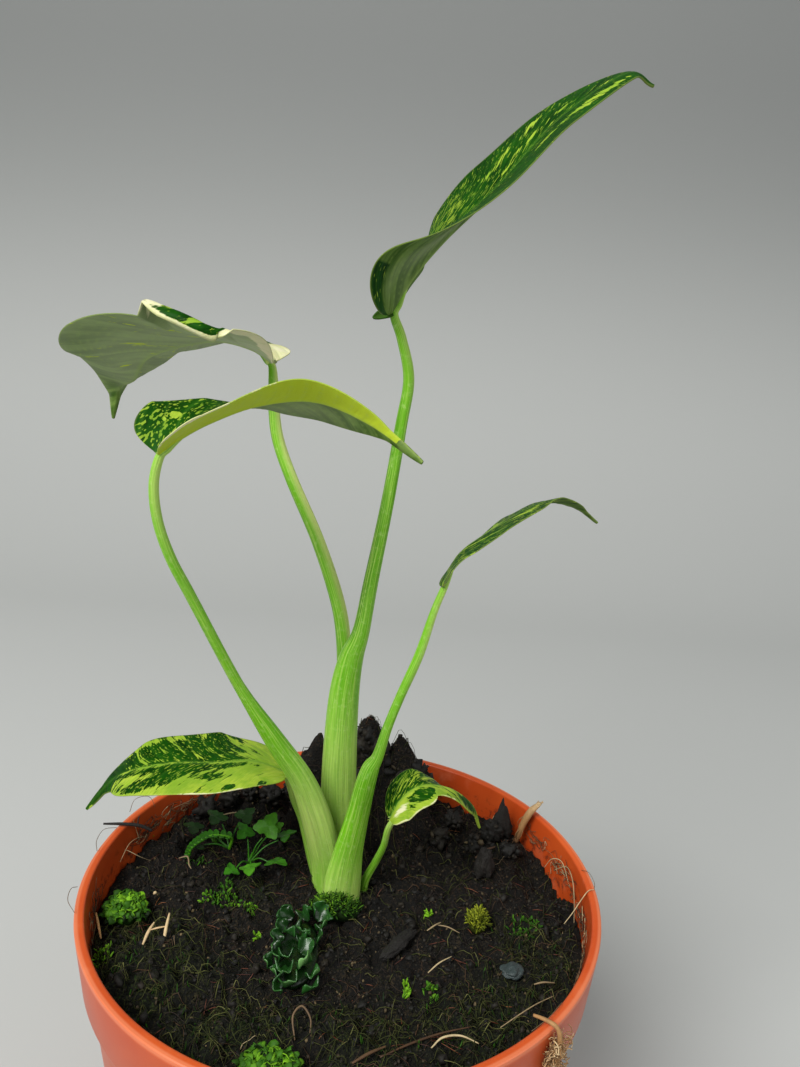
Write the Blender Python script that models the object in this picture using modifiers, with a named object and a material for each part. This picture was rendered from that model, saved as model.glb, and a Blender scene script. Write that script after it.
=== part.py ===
"""A young variegated monstera in a round nursery pot. Metres, +Z up, origin at the middle of the pot's foot.

Tables of places are in millimetres, with heights counted from the pot's rim, up positive."""

import math
import random

import bmesh
import bpy
import numpy as np
from mathutils import Vector, noise

MM = 0.001

# Pot
RIM_RADIUS = 60.0
POT_HEIGHT = 107.0
RIM_TOP = 2.2
WALL = 1.2
COLLAR_HEIGHT = 14.0
COLLAR_TAPER = 5.5
BODY_TAPER = 7.0
SHOULDER = 1.5
FLOOR = 2.0
FOOT_EDGE = 1.2
POT_SEGMENTS = 48
DRAIN_HOLES = 8
DRAIN_CIRCLE = 33.0
DRAIN_RADIUS = 3.5

# Soil
GAP = 0.3
SOIL_LEVEL = -8.5
SOIL_GRAIN = 1.0
SOIL_RINGS = 16
SOIL_SEGMENTS = 56
LUMP_SQUARENESS = 2.2
# x, y, radius across x, radius across y, rise
SOIL_LUMPS = (
    (4, 34, 15, 9, 21),
    (3.2, 34, 4.8, 5, 11),
    (-13, 34, 4.6, 5, 19),
    (15, 35, 6, 5, 8),
    (40, 26, 7, 6, 4),
    (-40, -22, 16, 14, 2.5),
    (-4, -44, 30, 10, 3.5),
    (-33, 42, 7, 6, 2.5),
    (50, 16, 7, 7, -3),
    (46, 34, 6, 5, -4),
)
# Level places where something stands on the soil: x, y, radius, height
SOIL_PADS = {
    "moss_left": (-49.5, -8.5, 8, -8.8),
    "moss_stem": (-1.8, -3.4, 7, -9.3),
    "moss_front": (-9.6, -49, 7, -6.8),
    "moss_lump": (32, -5, 4, -8.5),
    "liverwort": (-8.3, -17.5, 12, -9),
    "weed_seedling": (-25, 11.4, 3.5, -9),
    "fern_sporeling": (-31.5, 18.5, 3, -9),
    "bark_strip": (13.5, -14, 7, -8.5),
    "wood_chunk": (35, 13, 4, -8),
    "wood_shard": (41, 30, 5, -7.5),
    "slate_chip": (38.5, -19.5, 4, -8.5),
}

LIVERWORT_LOBES = 27
COIR_STRANDS = 5
COIR_BEARING = -45.0
# Loose pieces, each a thin round stalk along a path
RIM_TWIG = ((-50, 12.5, -0.9), (-53, 12.3, 0.4), (-57, 12, 0.8), (-62, 11.5, 0.8))
HUSK = ((45.3, 28, -7.2), (46, 28, -4.5), (46.8, 28, -1.5), (48.5, 28, 2.2), (50.8, 28, 4.8))

# Crown, the short stem that the petioles rise from
CROWN_CENTRE = (-1.2, 8.2)
CROWN_RADII = (8.0, 9.8)
CROWN_TOP = -12.0
CROWN_BOTTOM = -30.0

# Leaves
LAMINA = 0.65
MIDRIB_RISE = 0.5
MIDRIB_WIDTH = 0.14
TIP_HALF_WIDTH = 0.35
BLADE_STATIONS = 21
BLADE_COLUMNS = (-1, -0.84, -0.5, -0.14, 0, 0.14, 0.5, 0.84, 1)
ROLL_START = 0.84
LIFT_START = 0.4
SHEATH_WALL = 1.1
SHEATH_GAP = 50.0
OUTER_POINTS = 9
INNER_POINTS = 5
PETIOLE_STATIONS = 17

# half: widest half-widths of the near and the far side of the blade.
# side: level direction to the far edge, at the blade's base and at its tip. facing: +1 if it grows to the right.
# near, far: degrees that each half rises from the level, at seven stations from base to tip.
# roll: how far the near edge curls under, in degrees, the stretch of the blade where it does, and its lift.
# lobes: how far the near and the far side of the blade's base sweep back.
# slow_start: the share of the length over which the near and the far half grow out from the petiole.
LEAVES = {
    "tall": dict(
        half=(14, 15), side=((0, 1, 0), (0, 1, 0)), facing=1, roll=(0, 0, 1, 0), wave=(0.5, 2.5, 0.0),
        lobes=(0, 2),
        midrib=((3, 2, 129.2), (6.5, -1, 136), (12.5, -3.5, 143.5), (22, -7, 153), (32, -7, 165),
                (43.9, -5.5, 174), (49.6, -4, 172.9)),
        near=(10, 25, 7, -10, -20, -28, -50), far=(-5, 0, 20, 30, 29, 20, 20),
        petiole=((-0.7, 13, -11.7), (-1.8, 12, 0), (-3, 10.8, 14), (-3.2, 9.6, 28), (-2.8, 8.8, 42), (-1.6, 8, 51),
                 (0.4, 7.5, 58), (2, 7.2, 70), (4.7, 6.4, 89), (6.6, 5.6, 106), (7.6, 4.8, 116),
                 (5.6, 3.3, 124.2)),
        width=(4.4, 4.4, 4.4, 4.1, 3.6, 2.9, 2, 1.7, 1.45, 1.3, 1.2, 1.05, 0.9),
        flatness=(0.72, 0.72, 0.74, 0.76, 0.8, 0.9, 1, 1, 1, 1, 1, 1, 1),
        opening=(1, 1, 1, 1, 1, 0.7, 0.15, 0, 0, 0, 0, 0, 0), open_towards=(-0.3, 0.95, 0),
    ),
    "drooping": dict(
        half=(24, 15), side=((0.25, 0.97, 0), (1, 0.3, 0.1)), facing=-1, wave=(0.2, 3.5, 0.6),
        roll=(100, 0.12, 0.365, 4.5), lobes=(2, 1),
        midrib=((-23.8, 20, 117.3), (-29.5, 21.5, 120.5), (-39.5, 23, 121.5), (-55, 28, 117), (-62.5, 38, 110.5),
                (-69, 46.5, 107.5), (-72.5, 51, 99)),
        near=(33, 13, 7, 17, 27, 32, 35), far=(20, 0, 3, 9, 26, 40, 55),
        petiole=((-1.2, 14.6, -11.7), (-2.2, 13.6, 0), (-3.4, 12.5, 14), (-3.7, 12.1, 28), (-3.5, 12.7, 42),
                 (-4, 13.6, 53), (-6, 14, 63), (-11.3, 15, 77), (-18.1, 16, 91), (-21.7, 16.6, 100),
                 (-23, 17.4, 107), (-23.5, 18.6, 112.5)),
        width=(1.5, 1.5, 1.5, 1.5, 1.6, 1.75, 1.7, 1.55, 1.45, 1.4, 1.3, 1.15, 0.9),
        flatness=(1,) * 13, opening=(0,) * 13, open_towards=(-0.6, 0.6, 0.5),
    ),
    "arching": dict(
        half=(13.3, 14), side=((0, 1, 0), (0, 1, 0)), facing=1, roll=(0, 0, 1, 0), wave=(0.35, 2.0, 1.2),
        lobes=(0, 5), slow_start=(0.2, 0),
        midrib=((-37.7, -22.5, 100.4), (-34, -22, 103.6), (-28.5, -20, 107), (-20, -19, 110.5), (-9.5, -20, 112),
                (1, -25, 109), (11, -30, 103)),
        near=(-5, 0, 5, 10, 25, 40, 65), far=(60, 44, 18, -10, -30, -40, -55),
        petiole=((-4.4, 6.9, -11.7), (-4.8, 6.4, -3), (-6.1, 5.5, 4), (-8.2, 3.6, 13.3), (-11.4, 1, 23.1),
                 (-17.4, -3, 34.8), (-23.2, -7, 46.4), (-26.9, -10, 55.1), (-32.9, -16, 71.3), (-36.1, -19, 79.8),
                 (-38, -21, 87.5), (-38.4, -22, 94.5)),
        width=(4, 4.2, 4.2, 3.9, 3.1, 2.35, 1.35, 1.15, 1.1, 1.05, 1, 0.95, 0.85),
        flatness=(0.6, 0.6, 0.62, 0.7, 0.8, 0.9, 1, 1, 1, 1, 1, 1, 1),
        opening=(1, 1, 1, 1, 1, 1, 0.5, 0, 0, 0, 0, 0, 0), open_towards=(0.35, 0.93, 0),
    ),
    "slender": dict(
        half=(9, 9), side=((0, 1, 0), (0, 1, 0)), facing=1, roll=(0, 0, 1, 0), wave=(0.2, 2.0, 2.0),
        lobes=(0, 0),
        midrib=((17.5, -3, 73), (21, -1, 80), (27.5, 1, 85), (34.5, 5, 89), (41, 9.5, 91), (48, 13.5, 89.5),
                (54, 16.5, 85.5)),
        near=(5, 0, 5, 5, 15, 20, 20), far=(5, -15, -15, -10, -15, -20, -25),
        petiole=((-0.6, 2.2, -11.7), (-0.4, 2, -4), (0.5, 1.6, 4), (1.6, 1.2, 10.5), (2.6, 0.5, 16.5),
                 (3.6, -0.5, 23), (4.7, -1, 28), (6.2, -1.4, 31.4), (8, -2, 39), (10.4, -2.6, 47),
                 (13.8, -3, 57), (16.3, -3, 67)),
        width=(4.6, 4.6, 3.7, 3.1, 2.7, 2.4, 2, 1.35, 1.1, 1.05, 1.05, 0.85, 0.75),
        flatness=(0.52, 0.54, 0.6, 0.7, 0.8, 0.9, 1, 1, 1, 1, 1, 1, 1),
        opening=(1, 1, 1, 1, 1, 1, 0.6, 0, 0, 0, 0, 0, 0), open_towards=(-0.35, 0.93, 0),
    ),
    "low": dict(
        half=(12.5, 12.5), side=((0, 1, 0), (0, 1, 0)), facing=-1, roll=(0, 0, 1, 0), wave=(0.35, 3.0, 0.4),
        lobes=(-0.6, 1),
        midrib=((-15, 5, 22), (-23, 4, 25), (-31.5, 2, 25), (-41, 1.5, 24.5), (-50, 1, 22.5), (-56.5, 3, 18),
                (-62.5, 2.5, 10.5)),
        near=(10, 2, 0, -10, -15, -25, -75), far=(-5, -5, 5, 10, 20, 20, 40),
        petiole=((-6.8, 11.7, -11.7), (-8.4, 11, -5.5), (-10.1, 10, 2.7), (-11.3, 9, 8.3), (-12.9, 7, 13.7),
                 (-13.9, 5, 18)),
        width=(1.6, 1.6, 1.6, 1.6, 1.45, 1.15, 0.9), flatness=(1,) * 7, opening=(0,) * 7,
        open_towards=(0.8, 0.3, 0.3),
    ),
    "small": dict(
        half=(7.5, 7.5), side=((0.2, 1, 0), (0.2, 1, 0)), facing=1, roll=(0, 0, 1, 0), wave=(0.15, 2.0, 0.0),
        lobes=(1, 1),
        midrib=((10, -0.5, 15), (12, 0.5, 19), (15.5, 1, 22.5), (19.5, 2, 23), (24.5, 2, 22), (29.5, 4, 17),
                (32, 6.5, 10)),
        near=(-20, -25, -15, 10, 10, -10, -25), far=(25, 28, 16, -15, -50, -50, -40),
        petiole=((4.4, 7, -11.7), (5.1, 6, -6), (7.3, 4.5, 0.2), (8.9, 2.2, 6.1), (9.6, 0.3, 11.5)),
        width=(1, 1, 0.9, 0.8, 0.75, 0.7), flatness=(1,) * 6, opening=(0,) * 6, open_towards=(-0.5, 0.5, 0.3),
    ),
}


def smooth(points, t):
    """Catmull-Rom curve through evenly counted points, at t from 0 to 1."""
    rows = np.asarray(points, float)
    flat = rows.ndim == 1
    rows = rows[:, None] if flat else rows
    last = len(rows) - 1
    padded = np.vstack([2 * rows[0] - rows[1], rows, 2 * rows[-1] - rows[-2]])
    place = np.clip(np.asarray(t, float) * last, 0, last - 1e-9)
    index = np.floor(place).astype(int)
    f = (place - index)[:, None]
    a, b, c, d = (padded[index + k] for k in range(4))
    curve = 0.5 * (2 * b + (c - a) * f + (2 * a - 5 * b + 4 * c - d) * f**2 + (3 * b - a - 3 * c + d) * f**3)
    return curve[:, 0] if flat else curve


def unit(rows):
    return rows / np.linalg.norm(rows, axis=-1, keepdims=True)


def world(rows):
    """Millimetres above the rim to metres above the foot."""
    return (np.asarray(rows, float) + (0, 0, POT_HEIGHT)) * MM


def make_material(name, colour, roughness, coat=0.0):
    material = bpy.data.materials.new(name)
    material.use_nodes = True
    shader = material.node_tree.nodes["Principled BSDF"]
    shader.inputs["Base Color"].default_value = (*colour, 1)
    shader.inputs["Roughness"].default_value = roughness
    shader.inputs["Metallic"].default_value = 0.0
    shader.inputs["Coat Weight"].default_value = coat
    material.diffuse_color = (*colour, 1)
    return material


def make_object(name, points, faces, material, collection, smooth_shading=True):
    mesh = bpy.data.meshes.new(name)
    mesh.from_pydata([tuple(p) for p in points], [], faces)
    mesh.materials.append(material)
    obj = bpy.data.objects.new(name, mesh)
    collection.objects.link(obj)
    if smooth_shading:
        mesh.shade_smooth()
        mesh.set_sharp_from_angle(angle=math.radians(40))
    return obj


def apply_modifiers(obj):
    graph = bpy.context.evaluated_depsgraph_get()
    applied = bpy.data.meshes.new_from_object(obj.evaluated_get(graph))
    obj.modifiers.clear()
    obj.data = applied


def remove_collection(collection):
    for obj in list(collection.objects):
        bpy.data.objects.remove(obj, do_unlink=True)
    bpy.data.collections.remove(collection)


def new_collection(name, cutters=False):
    collection = bpy.data.collections.new(name)
    bpy.context.scene.collection.children.link(collection)
    collection.hide_render = cutters
    return collection


def fuse(base, pieces):
    """Joins the objects of a collection to the base as one body and removes them."""
    union = base.modifiers.new("fuse", "BOOLEAN")
    union.operation = "UNION"
    union.solver = "MANIFOLD"
    union.operand_type = "COLLECTION"
    union.collection = pieces
    apply_modifiers(base)
    remove_collection(pieces)


def loft_faces(rings, count):
    """Quads between rings of points, the rings one after another, with a fan-free cap at each end."""
    faces = []
    for ring in range(rings - 1):
        for k in range(count):
            after = (k + 1) % count
            low = ring * count
            high = low + count
            faces.append((low + k, low + after, high + after, high + k))
    faces.append(tuple(reversed(range(count))))
    faces.append(tuple(range((rings - 1) * count, rings * count)))
    return faces


# Pot

def inner_radius(z):
    """Radius of the pot's inner wall at a height from the rim."""
    collar = RIM_RADIUS - RIM_TOP + min(0, z) * math.tan(math.radians(COLLAR_TAPER))
    body = outer_radius_below(z) - WALL
    return collar if z > -COLLAR_HEIGHT else min(collar, body)


def outer_radius_below(z):
    """Radius of the pot's outer wall below the collar."""
    collar_foot = RIM_RADIUS - COLLAR_HEIGHT * math.tan(math.radians(COLLAR_TAPER))
    return collar_foot - SHOULDER + (z + COLLAR_HEIGHT) * math.tan(math.radians(BODY_TAPER))


def make_pot(collection, cutters, material):
    floor = -POT_HEIGHT + FLOOR
    collar_foot = RIM_RADIUS - COLLAR_HEIGHT * math.tan(math.radians(COLLAR_TAPER))
    foot = outer_radius_below(-POT_HEIGHT)
    rim_inside = RIM_RADIUS - RIM_TOP
    profile = (
        (0, floor),
        (inner_radius(floor), floor),
        (inner_radius(-COLLAR_HEIGHT - 0.1), -COLLAR_HEIGHT - 0.1),
        (inner_radius(-COLLAR_HEIGHT + 2), -COLLAR_HEIGHT + 2),
        (rim_inside, -0.4),
        (rim_inside + 0.4, 0),
        (RIM_RADIUS - 0.5, 0),
        (RIM_RADIUS, -0.5),
        (collar_foot, -COLLAR_HEIGHT + 0.6),
        (collar_foot - 0.5, -COLLAR_HEIGHT),
        (collar_foot - SHOULDER, -COLLAR_HEIGHT),
        (foot + 0.1, -POT_HEIGHT + FOOT_EDGE),
        (foot - FOOT_EDGE, -POT_HEIGHT),
        (0, -POT_HEIGHT),
    )
    points = [world((x, 0, z)) for x, z in profile]
    mesh = bpy.data.meshes.new("pot")
    mesh.from_pydata([tuple(p) for p in points], [(k, k + 1) for k in range(len(points) - 1)], [])
    mesh.materials.append(material)
    pot = bpy.data.objects.new("pot", mesh)
    collection.objects.link(pot)
    turn = pot.modifiers.new("turn", "SCREW")
    turn.axis = "Z"
    turn.steps = POT_SEGMENTS
    turn.render_steps = POT_SEGMENTS
    turn.use_merge_vertices = True
    turn.merge_threshold = 0.00001
    for k in range(DRAIN_HOLES):
        angle = 2 * math.pi * (k + 0.5) / DRAIN_HOLES
        place = world((DRAIN_CIRCLE * math.cos(angle), DRAIN_CIRCLE * math.sin(angle), -POT_HEIGHT + FLOOR / 2))
        bpy.ops.mesh.primitive_cylinder_add(vertices=10, radius=DRAIN_RADIUS * MM, depth=3 * FLOOR * MM, location=place)
        cutter = bpy.context.object
        cutter.name = f"drain_cutter_{k + 1}"
        move_to(cutter, cutters)
    drill = pot.modifiers.new("drain", "BOOLEAN")
    drill.operation = "DIFFERENCE"
    drill.operand_type = "COLLECTION"
    drill.collection = cutters
    apply_modifiers(pot)
    pot.data.shade_smooth()
    pot.data.set_sharp_from_angle(angle=math.radians(40))


def move_to(obj, collection):
    for owner in list(obj.users_collection):
        owner.objects.unlink(obj)
    collection.objects.link(obj)
    obj.hide_render = collection.hide_render
    obj.display_type = "WIRE" if collection.hide_render else "TEXTURED"


# Soil

def soil_height(x, y):
    """Height of the soil from the rim: a rough level, lumps, and level pads for what stands on it."""
    z = SOIL_LEVEL + SOIL_GRAIN * noise.noise(Vector((x / 7, y / 7, 3.1))) * 1.5
    z += SOIL_GRAIN * noise.noise(Vector((x / 3.2, y / 3.2, 8.7)))
    for at_x, at_y, wide, deep, rise in SOIL_LUMPS:
        distance = ((x - at_x) / wide) ** 2 + ((y - at_y) / deep) ** 2
        z += rise * math.exp(-(distance**LUMP_SQUARENESS))
    for at_x, at_y, radius, level in SOIL_PADS.values():
        outside = max(0.0, math.hypot(x - at_x, y - at_y) / radius - 1)
        weight = 1 / (1 + (outside / 0.35) ** 3)
        z = weight * level + (1 - weight) * z
    return z


def make_soil(collection, cutters, material):
    floor = -POT_HEIGHT + FLOOR + GAP
    points = [(0, 0, soil_height(0, 0))]
    for ring in range(1, SOIL_RINGS + 1):
        share = ring / SOIL_RINGS
        for k in range(SOIL_SEGMENTS):
            angle = 2 * math.pi * k / SOIL_SEGMENTS
            edge = inner_radius(SOIL_LEVEL) - 0.8
            x = edge * share * math.cos(angle)
            y = edge * share * math.sin(angle)
            z = min(soil_height(x, y), -2) if ring == SOIL_RINGS else soil_height(x, y)
            reach = inner_radius(z) - 2 * GAP if ring == SOIL_RINGS else edge * share
            points.append((reach * math.cos(angle), reach * math.sin(angle), z))
    for z in (-COLLAR_HEIGHT - 1, floor):
        radius = inner_radius(z) - 2 * GAP
        for k in range(SOIL_SEGMENTS):
            angle = 2 * math.pi * k / SOIL_SEGMENTS
            points.append((radius * math.cos(angle), radius * math.sin(angle), z))
    faces = [(0, 1 + k, 1 + (k + 1) % SOIL_SEGMENTS) for k in range(SOIL_SEGMENTS)]
    for ring in range(SOIL_RINGS + 1):
        low = 1 + ring * SOIL_SEGMENTS
        for k in range(SOIL_SEGMENTS):
            after = (k + 1) % SOIL_SEGMENTS
            high = low + SOIL_SEGMENTS
            faces.append((low + k, high + k, high + after, low + after))
    last = 1 + (SOIL_RINGS + 1) * SOIL_SEGMENTS
    faces.append(tuple(reversed(range(last, last + SOIL_SEGMENTS))))
    soil = make_object("soil", world(points), faces, material, collection)
    hole = make_crown_solid("crown_hole", GAP, CROWN_BOTTOM - GAP, 20, material, cutters)
    hole.hide_render = True
    hole.display_type = "WIRE"
    for name, leaf in LEAVES.items():
        foot = make_petiole_solid(f"{name}_hole", leaf, 0.35, material, cutters, 0.45)
        foot.hide_render = True
        foot.display_type = "WIRE"
    dig = soil.modifiers.new("holes", "BOOLEAN")
    dig.operation = "DIFFERENCE"
    dig.operand_type = "COLLECTION"
    dig.collection = cutters
    apply_modifiers(soil)
    soil.data.shade_smooth()
    soil.data.set_sharp_from_angle(angle=math.radians(40))


# Crown

def make_crown_solid(name, grow, bottom, top, material, collection):
    count = 20
    rows = []
    for z in (bottom, top):
        for k in range(count):
            angle = 2 * math.pi * k / count
            x = CROWN_CENTRE[0] + (CROWN_RADII[0] + grow) * math.cos(angle)
            y = CROWN_CENTRE[1] + (CROWN_RADII[1] + grow) * math.sin(angle)
            rows.append((x, y, z))
    return make_object(name, world(rows), loft_faces(2, count), material, collection)


# Petioles

def blade_axes(leaf, u):
    """Middle, heading, level side and upward directions of a blade's midrib."""
    centre = smooth(leaf["midrib"], u)
    step = 1e-3
    tangent = unit(smooth(leaf["midrib"], np.clip(u + step, 0, 1)) - smooth(leaf["midrib"], np.clip(u - step, 0, 1)))
    base_side, tip_side = (np.array(side, float) for side in leaf["side"])
    side = base_side * (1 - u)[:, None] + tip_side * u[:, None]
    side = unit(side - (tangent * side).sum(1, keepdims=True) * tangent)
    return centre, tangent, side, np.cross(tangent, side) * leaf["facing"]


def petiole_path(leaf):
    """The petiole's points, and the joint just behind the blade's base."""
    centre, tangent, _, up = (rows[0] for rows in blade_axes(leaf, np.zeros(1)))
    listed = np.array(leaf["petiole"], float)
    heading = unit(centre - listed[-1])
    turned = math.sqrt(1 - min(1, float(heading @ tangent)) ** 2)
    back = GAP + leaf["width"][-1] * turned
    return np.vstack([listed, centre - up * MIDRIB_RISE / 2 - tangent * back])


def petiole_frames(leaf, t):
    path = petiole_path(leaf)
    centre = smooth(path, t)
    step = 1e-3
    tangent = unit(smooth(path, np.clip(t + step, 0, 1)) - smooth(path, np.clip(t - step, 0, 1)))
    tangent[0] = (0, 0, 1)
    towards = np.array(leaf["open_towards"], float)
    towards = unit(towards - (tangent @ towards)[:, None] * tangent)
    across = np.cross(tangent, towards)
    return centre, towards, across


def section(half_width, half_depth, opening):
    """Across and towards coordinates of a petiole's section: a ring, or a channel where it sheathes the stem."""
    gap = math.radians(SHEATH_GAP)
    outer = np.linspace(gap, 2 * math.pi - gap, OUTER_POINTS)
    points = [(half_width * math.sin(a), half_depth * math.cos(a)) for a in outer]
    share = np.linspace(-1, 1, INNER_POINTS + 2)[1:-1]
    inner_width = max(half_width - SHEATH_WALL, 0.3 * half_width)
    inner_depth = max(half_depth - SHEATH_WALL, 0.3 * half_depth)
    for s in share:
        cap = np.array((half_width * math.sin(gap * s), half_depth * math.cos(gap * s)))
        turn = math.pi - (math.pi - gap) * s
        wall = np.array((inner_width * math.sin(turn), inner_depth * math.cos(turn)))
        wall[1] += 0.1 * half_depth
        x, y = (1 - opening) * cap + opening * wall
        points.append((x, y))
    return np.array(points)


def make_petiole_solid(name, leaf, grow, material, collection, until=1.0):
    t = np.linspace(0, 1, PETIOLE_STATIONS)
    t = t[t <= until]
    centre, towards, across = petiole_frames(leaf, t)
    widths = smooth(leaf["width"], t)
    flats = smooth(leaf["flatness"], t)
    opens = np.clip(smooth(leaf["opening"], t), 0, 1)
    rows = []
    for k in range(len(t)):
        width = widths[k] + grow
        depth = widths[k] * flats[k] + grow
        ring = section(width, depth, 0.0 if grow else opens[k])
        rows.append(centre[k] + ring[:, :1] * across[k] + ring[:, 1:] * towards[k])
    count = OUTER_POINTS + INNER_POINTS
    return make_object(name, world(np.vstack(rows)), loft_faces(len(t), count), material, collection)


# Blades

def blade_half_width(u):
    """Share of the full half-width along a blade: a rounded base, widest before the middle, and a drawn-out tip."""
    body = np.clip(np.sin(np.pi * np.clip(u / 0.9, 0, 1) ** 0.62), 0, None) ** 0.78
    drip = np.where(u > 0.5, 0.075 * np.clip((1 - u) / 0.1, 0, 1) ** 0.8, 0)
    return np.sqrt(body**2 + drip**2)


def half_width(leaf, number, u):
    """Half-width of a blade's near half (0) or far half (1), in millimetres."""
    stretch = leaf.get("slow_start", (0, 0))[number]
    start = np.clip(u / stretch, 0, 1) ** 0.6 if stretch else 1.0
    return leaf["half"][number] * blade_half_width(u) * start + TIP_HALF_WIDTH


def blade_surface(leaf, u, columns):
    """Points of the middle of a blade's sheet, station by station, from the near edge to the far one."""
    centre, tangent, side, up = blade_axes(leaf, u)
    share = blade_half_width(u)
    roll_angle, roll_from, roll_to, lift = leaf["roll"]
    inside_roll = np.clip((u - roll_from) / (roll_to - roll_from), 0, 1)
    roll = math.radians(roll_angle) * np.sin(np.pi * inside_roll) ** 0.5
    lifted = lift * inside_roll * (inside_roll < 1)
    height, cycles, phase = leaf["wave"]
    surface = np.zeros((len(u), len(columns), 3))
    for k, s in enumerate(columns):
        near = s < 0
        rise = np.radians(smooth(leaf["near" if near else "far"], u))
        half = half_width(leaf, 0 if near else 1, u)
        sign = -1 if near else 1
        out = sign * side * np.cos(rise)[:, None] + up * np.sin(rise)[:, None]
        normal = -sign * side * np.sin(rise)[:, None] + up * np.cos(rise)[:, None]
        reach = abs(s)
        flat = min(reach, ROLL_START) if near else reach
        place = centre + (half * flat)[:, None] * out
        if reach > flat:
            curled = out * np.cos(roll)[:, None] - normal * np.sin(roll)[:, None]
            place += (half * (reach - flat))[:, None] * curled
        back = leaf["lobes"][0 if near else 1] * share * reach**2 * np.exp(-((u / 0.13) ** 2))
        place -= back[:, None] * tangent
        wave = height * share * reach**2 * np.sin(2 * np.pi * (cycles * u + 0.25 * sign) + phase)
        if near:
            wave += lifted * min(1, max(0, (reach - LIFT_START) / (ROLL_START - LIFT_START))) ** 1.5
        surface[:, k] = place + wave[:, None] * normal
    return surface


def surface_normals(surface, facing):
    along = np.gradient(surface, axis=0)
    over = np.gradient(surface, axis=1)
    return unit(np.cross(along, over) * facing)


def make_blade(name, leaf, material, collection):
    u = 0.5 * (1 - np.cos(np.pi * np.linspace(0, 1, BLADE_STATIONS)))
    sheet = blade_surface(leaf, u, BLADE_COLUMNS)
    normals = surface_normals(sheet, leaf["facing"])
    columns = np.array(BLADE_COLUMNS)
    fade = np.clip(1.15 - u, 0, 1)[:, None]
    rise = MIDRIB_RISE * np.exp(-((columns[None, :] / MIDRIB_WIDTH) ** 2)) * fade
    upper = sheet + LAMINA / 2 * normals
    lower = sheet - (LAMINA / 2 + rise[..., None]) * normals
    rows, count = upper.shape[:2]
    points = np.vstack([upper.reshape(-1, 3), lower.reshape(-1, 3)])
    under = rows * count
    faces = []
    for i in range(rows - 1):
        for j in range(count - 1):
            a = i * count + j
            b = a + count
            for triangle in ((a, b, b + 1), (a, b + 1, a + 1)):
                faces.append(triangle)
                faces.append(tuple(under + v for v in reversed(triangle)))
    border = [j for j in range(count)]
    border += [i * count + count - 1 for i in range(1, rows)]
    border += [(rows - 1) * count + j for j in range(count - 2, -1, -1)]
    border += [i * count for i in range(rows - 2, 0, -1)]
    for k, a in enumerate(border):
        b = border[(k + 1) % len(border)]
        faces.append((a, b, under + b))
        faces.append((a, under + b, under + a))
    if leaf["facing"] < 0:
        faces = [tuple(reversed(face)) for face in faces]
    return make_object(name, world(points), faces, material, collection)


# Small growth and debris on the soil

def pad(name):
    """Middle and standing height of a level place on the soil."""
    x, y, radius, level = SOIL_PADS[name]
    return Vector((x, y, level + GAP)), radius


def make_patch(name, radii, rings, count, lift, material, collection):
    """A low growth on a level pad: a flat foot, and a top raised by a function of the place on it."""
    middle, _ = pad(name)
    rows = []
    for ring in range(rings + 1):
        share = 1 - max(ring - 1, 0) / rings
        for k in range(count):
            angle = 2 * math.pi * k / count
            x = radii[0] * share * math.cos(angle)
            y = radii[1] * share * math.sin(angle)
            z = 0 if ring == 0 else lift(x, y, share)
            rows.append((middle.x + x, middle.y + y, middle.z + z))
    return make_object(name, world(rows), loft_faces(rings + 1, count), material, collection)


def make_cushion(name, radii, height, material, collection):
    """A moss cushion: a dome of small rounded shoots."""
    def lift(x, y, share):
        knobs = noise.noise(Vector((x / 1.3, y / 1.3, height)))
        return 0.5 + height * math.sqrt(1 - (0.97 * share) ** 2) * (0.85 + 0.5 * knobs)
    make_patch(name, radii, 5, 18, lift, material, collection)


def make_liverwort(material, collection):
    """A patch of overlapping cupped lobes, laid out in seeded rows."""
    random.seed(11)
    lobes = []
    for k in range(LIVERWORT_LOBES):
        row = k // 3
        x = (k % 3 - 1) * 3.4 + random.uniform(-0.6, 0.6) + (row % 2) * 0.8
        y = 9.6 - row * 2.4 + random.uniform(-0.4, 0.4)
        lobes.append((x, y, random.uniform(1.7, 2.3), random.uniform(0.8, 2.0)))

    def lift(x, y, share):
        best = 0.4
        for at_x, at_y, size, rise in lobes:
            distance = math.hypot(x - at_x, y - at_y) / size
            if distance < 1:
                best = max(best, 0.8 + rise * (1 - distance**4) * (0.75 + 0.35 * distance**2))
        return best
    make_patch("liverwort", (5.8, 11.2), 10, 26, lift, material, collection)


def leaflet(name, foot, direction, length, width, lobes, tilt, material, collection):
    """A thin lobed leaflet: a flat plate with a scalloped outline that starts inside its stalk."""
    heading = Vector(direction).normalized()
    across = heading.cross(Vector((0, 0, 1))).normalized()
    normal = (across.cross(heading) + tilt * across).normalized()
    across = heading.cross(normal)
    count = 4 * lobes
    outline = []
    for k in range(count):
        angle = 2 * math.pi * k / count
        reach = 0.78 + 0.22 * math.cos(lobes * angle)
        outline.append((length * (0.5 - 0.5 * reach * math.cos(angle)), 0.5 * width * reach * math.sin(angle)))
    rows = []
    for height in (-0.3, 0.3):
        for along, aside in outline:
            rows.append(Vector(foot) + heading * along + across * aside + normal * height)
    rows = [tuple(row) for row in rows]
    faces = loft_faces(2, count)
    piece = make_object(name, world(rows), faces, material, collection, smooth_shading=False)
    outward(piece)


def outward(obj):
    mesh = bmesh.new()
    mesh.from_mesh(obj.data)
    bmesh.ops.recalc_face_normals(mesh, faces=mesh.faces)
    mesh.to_mesh(obj.data)
    mesh.free()


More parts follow.
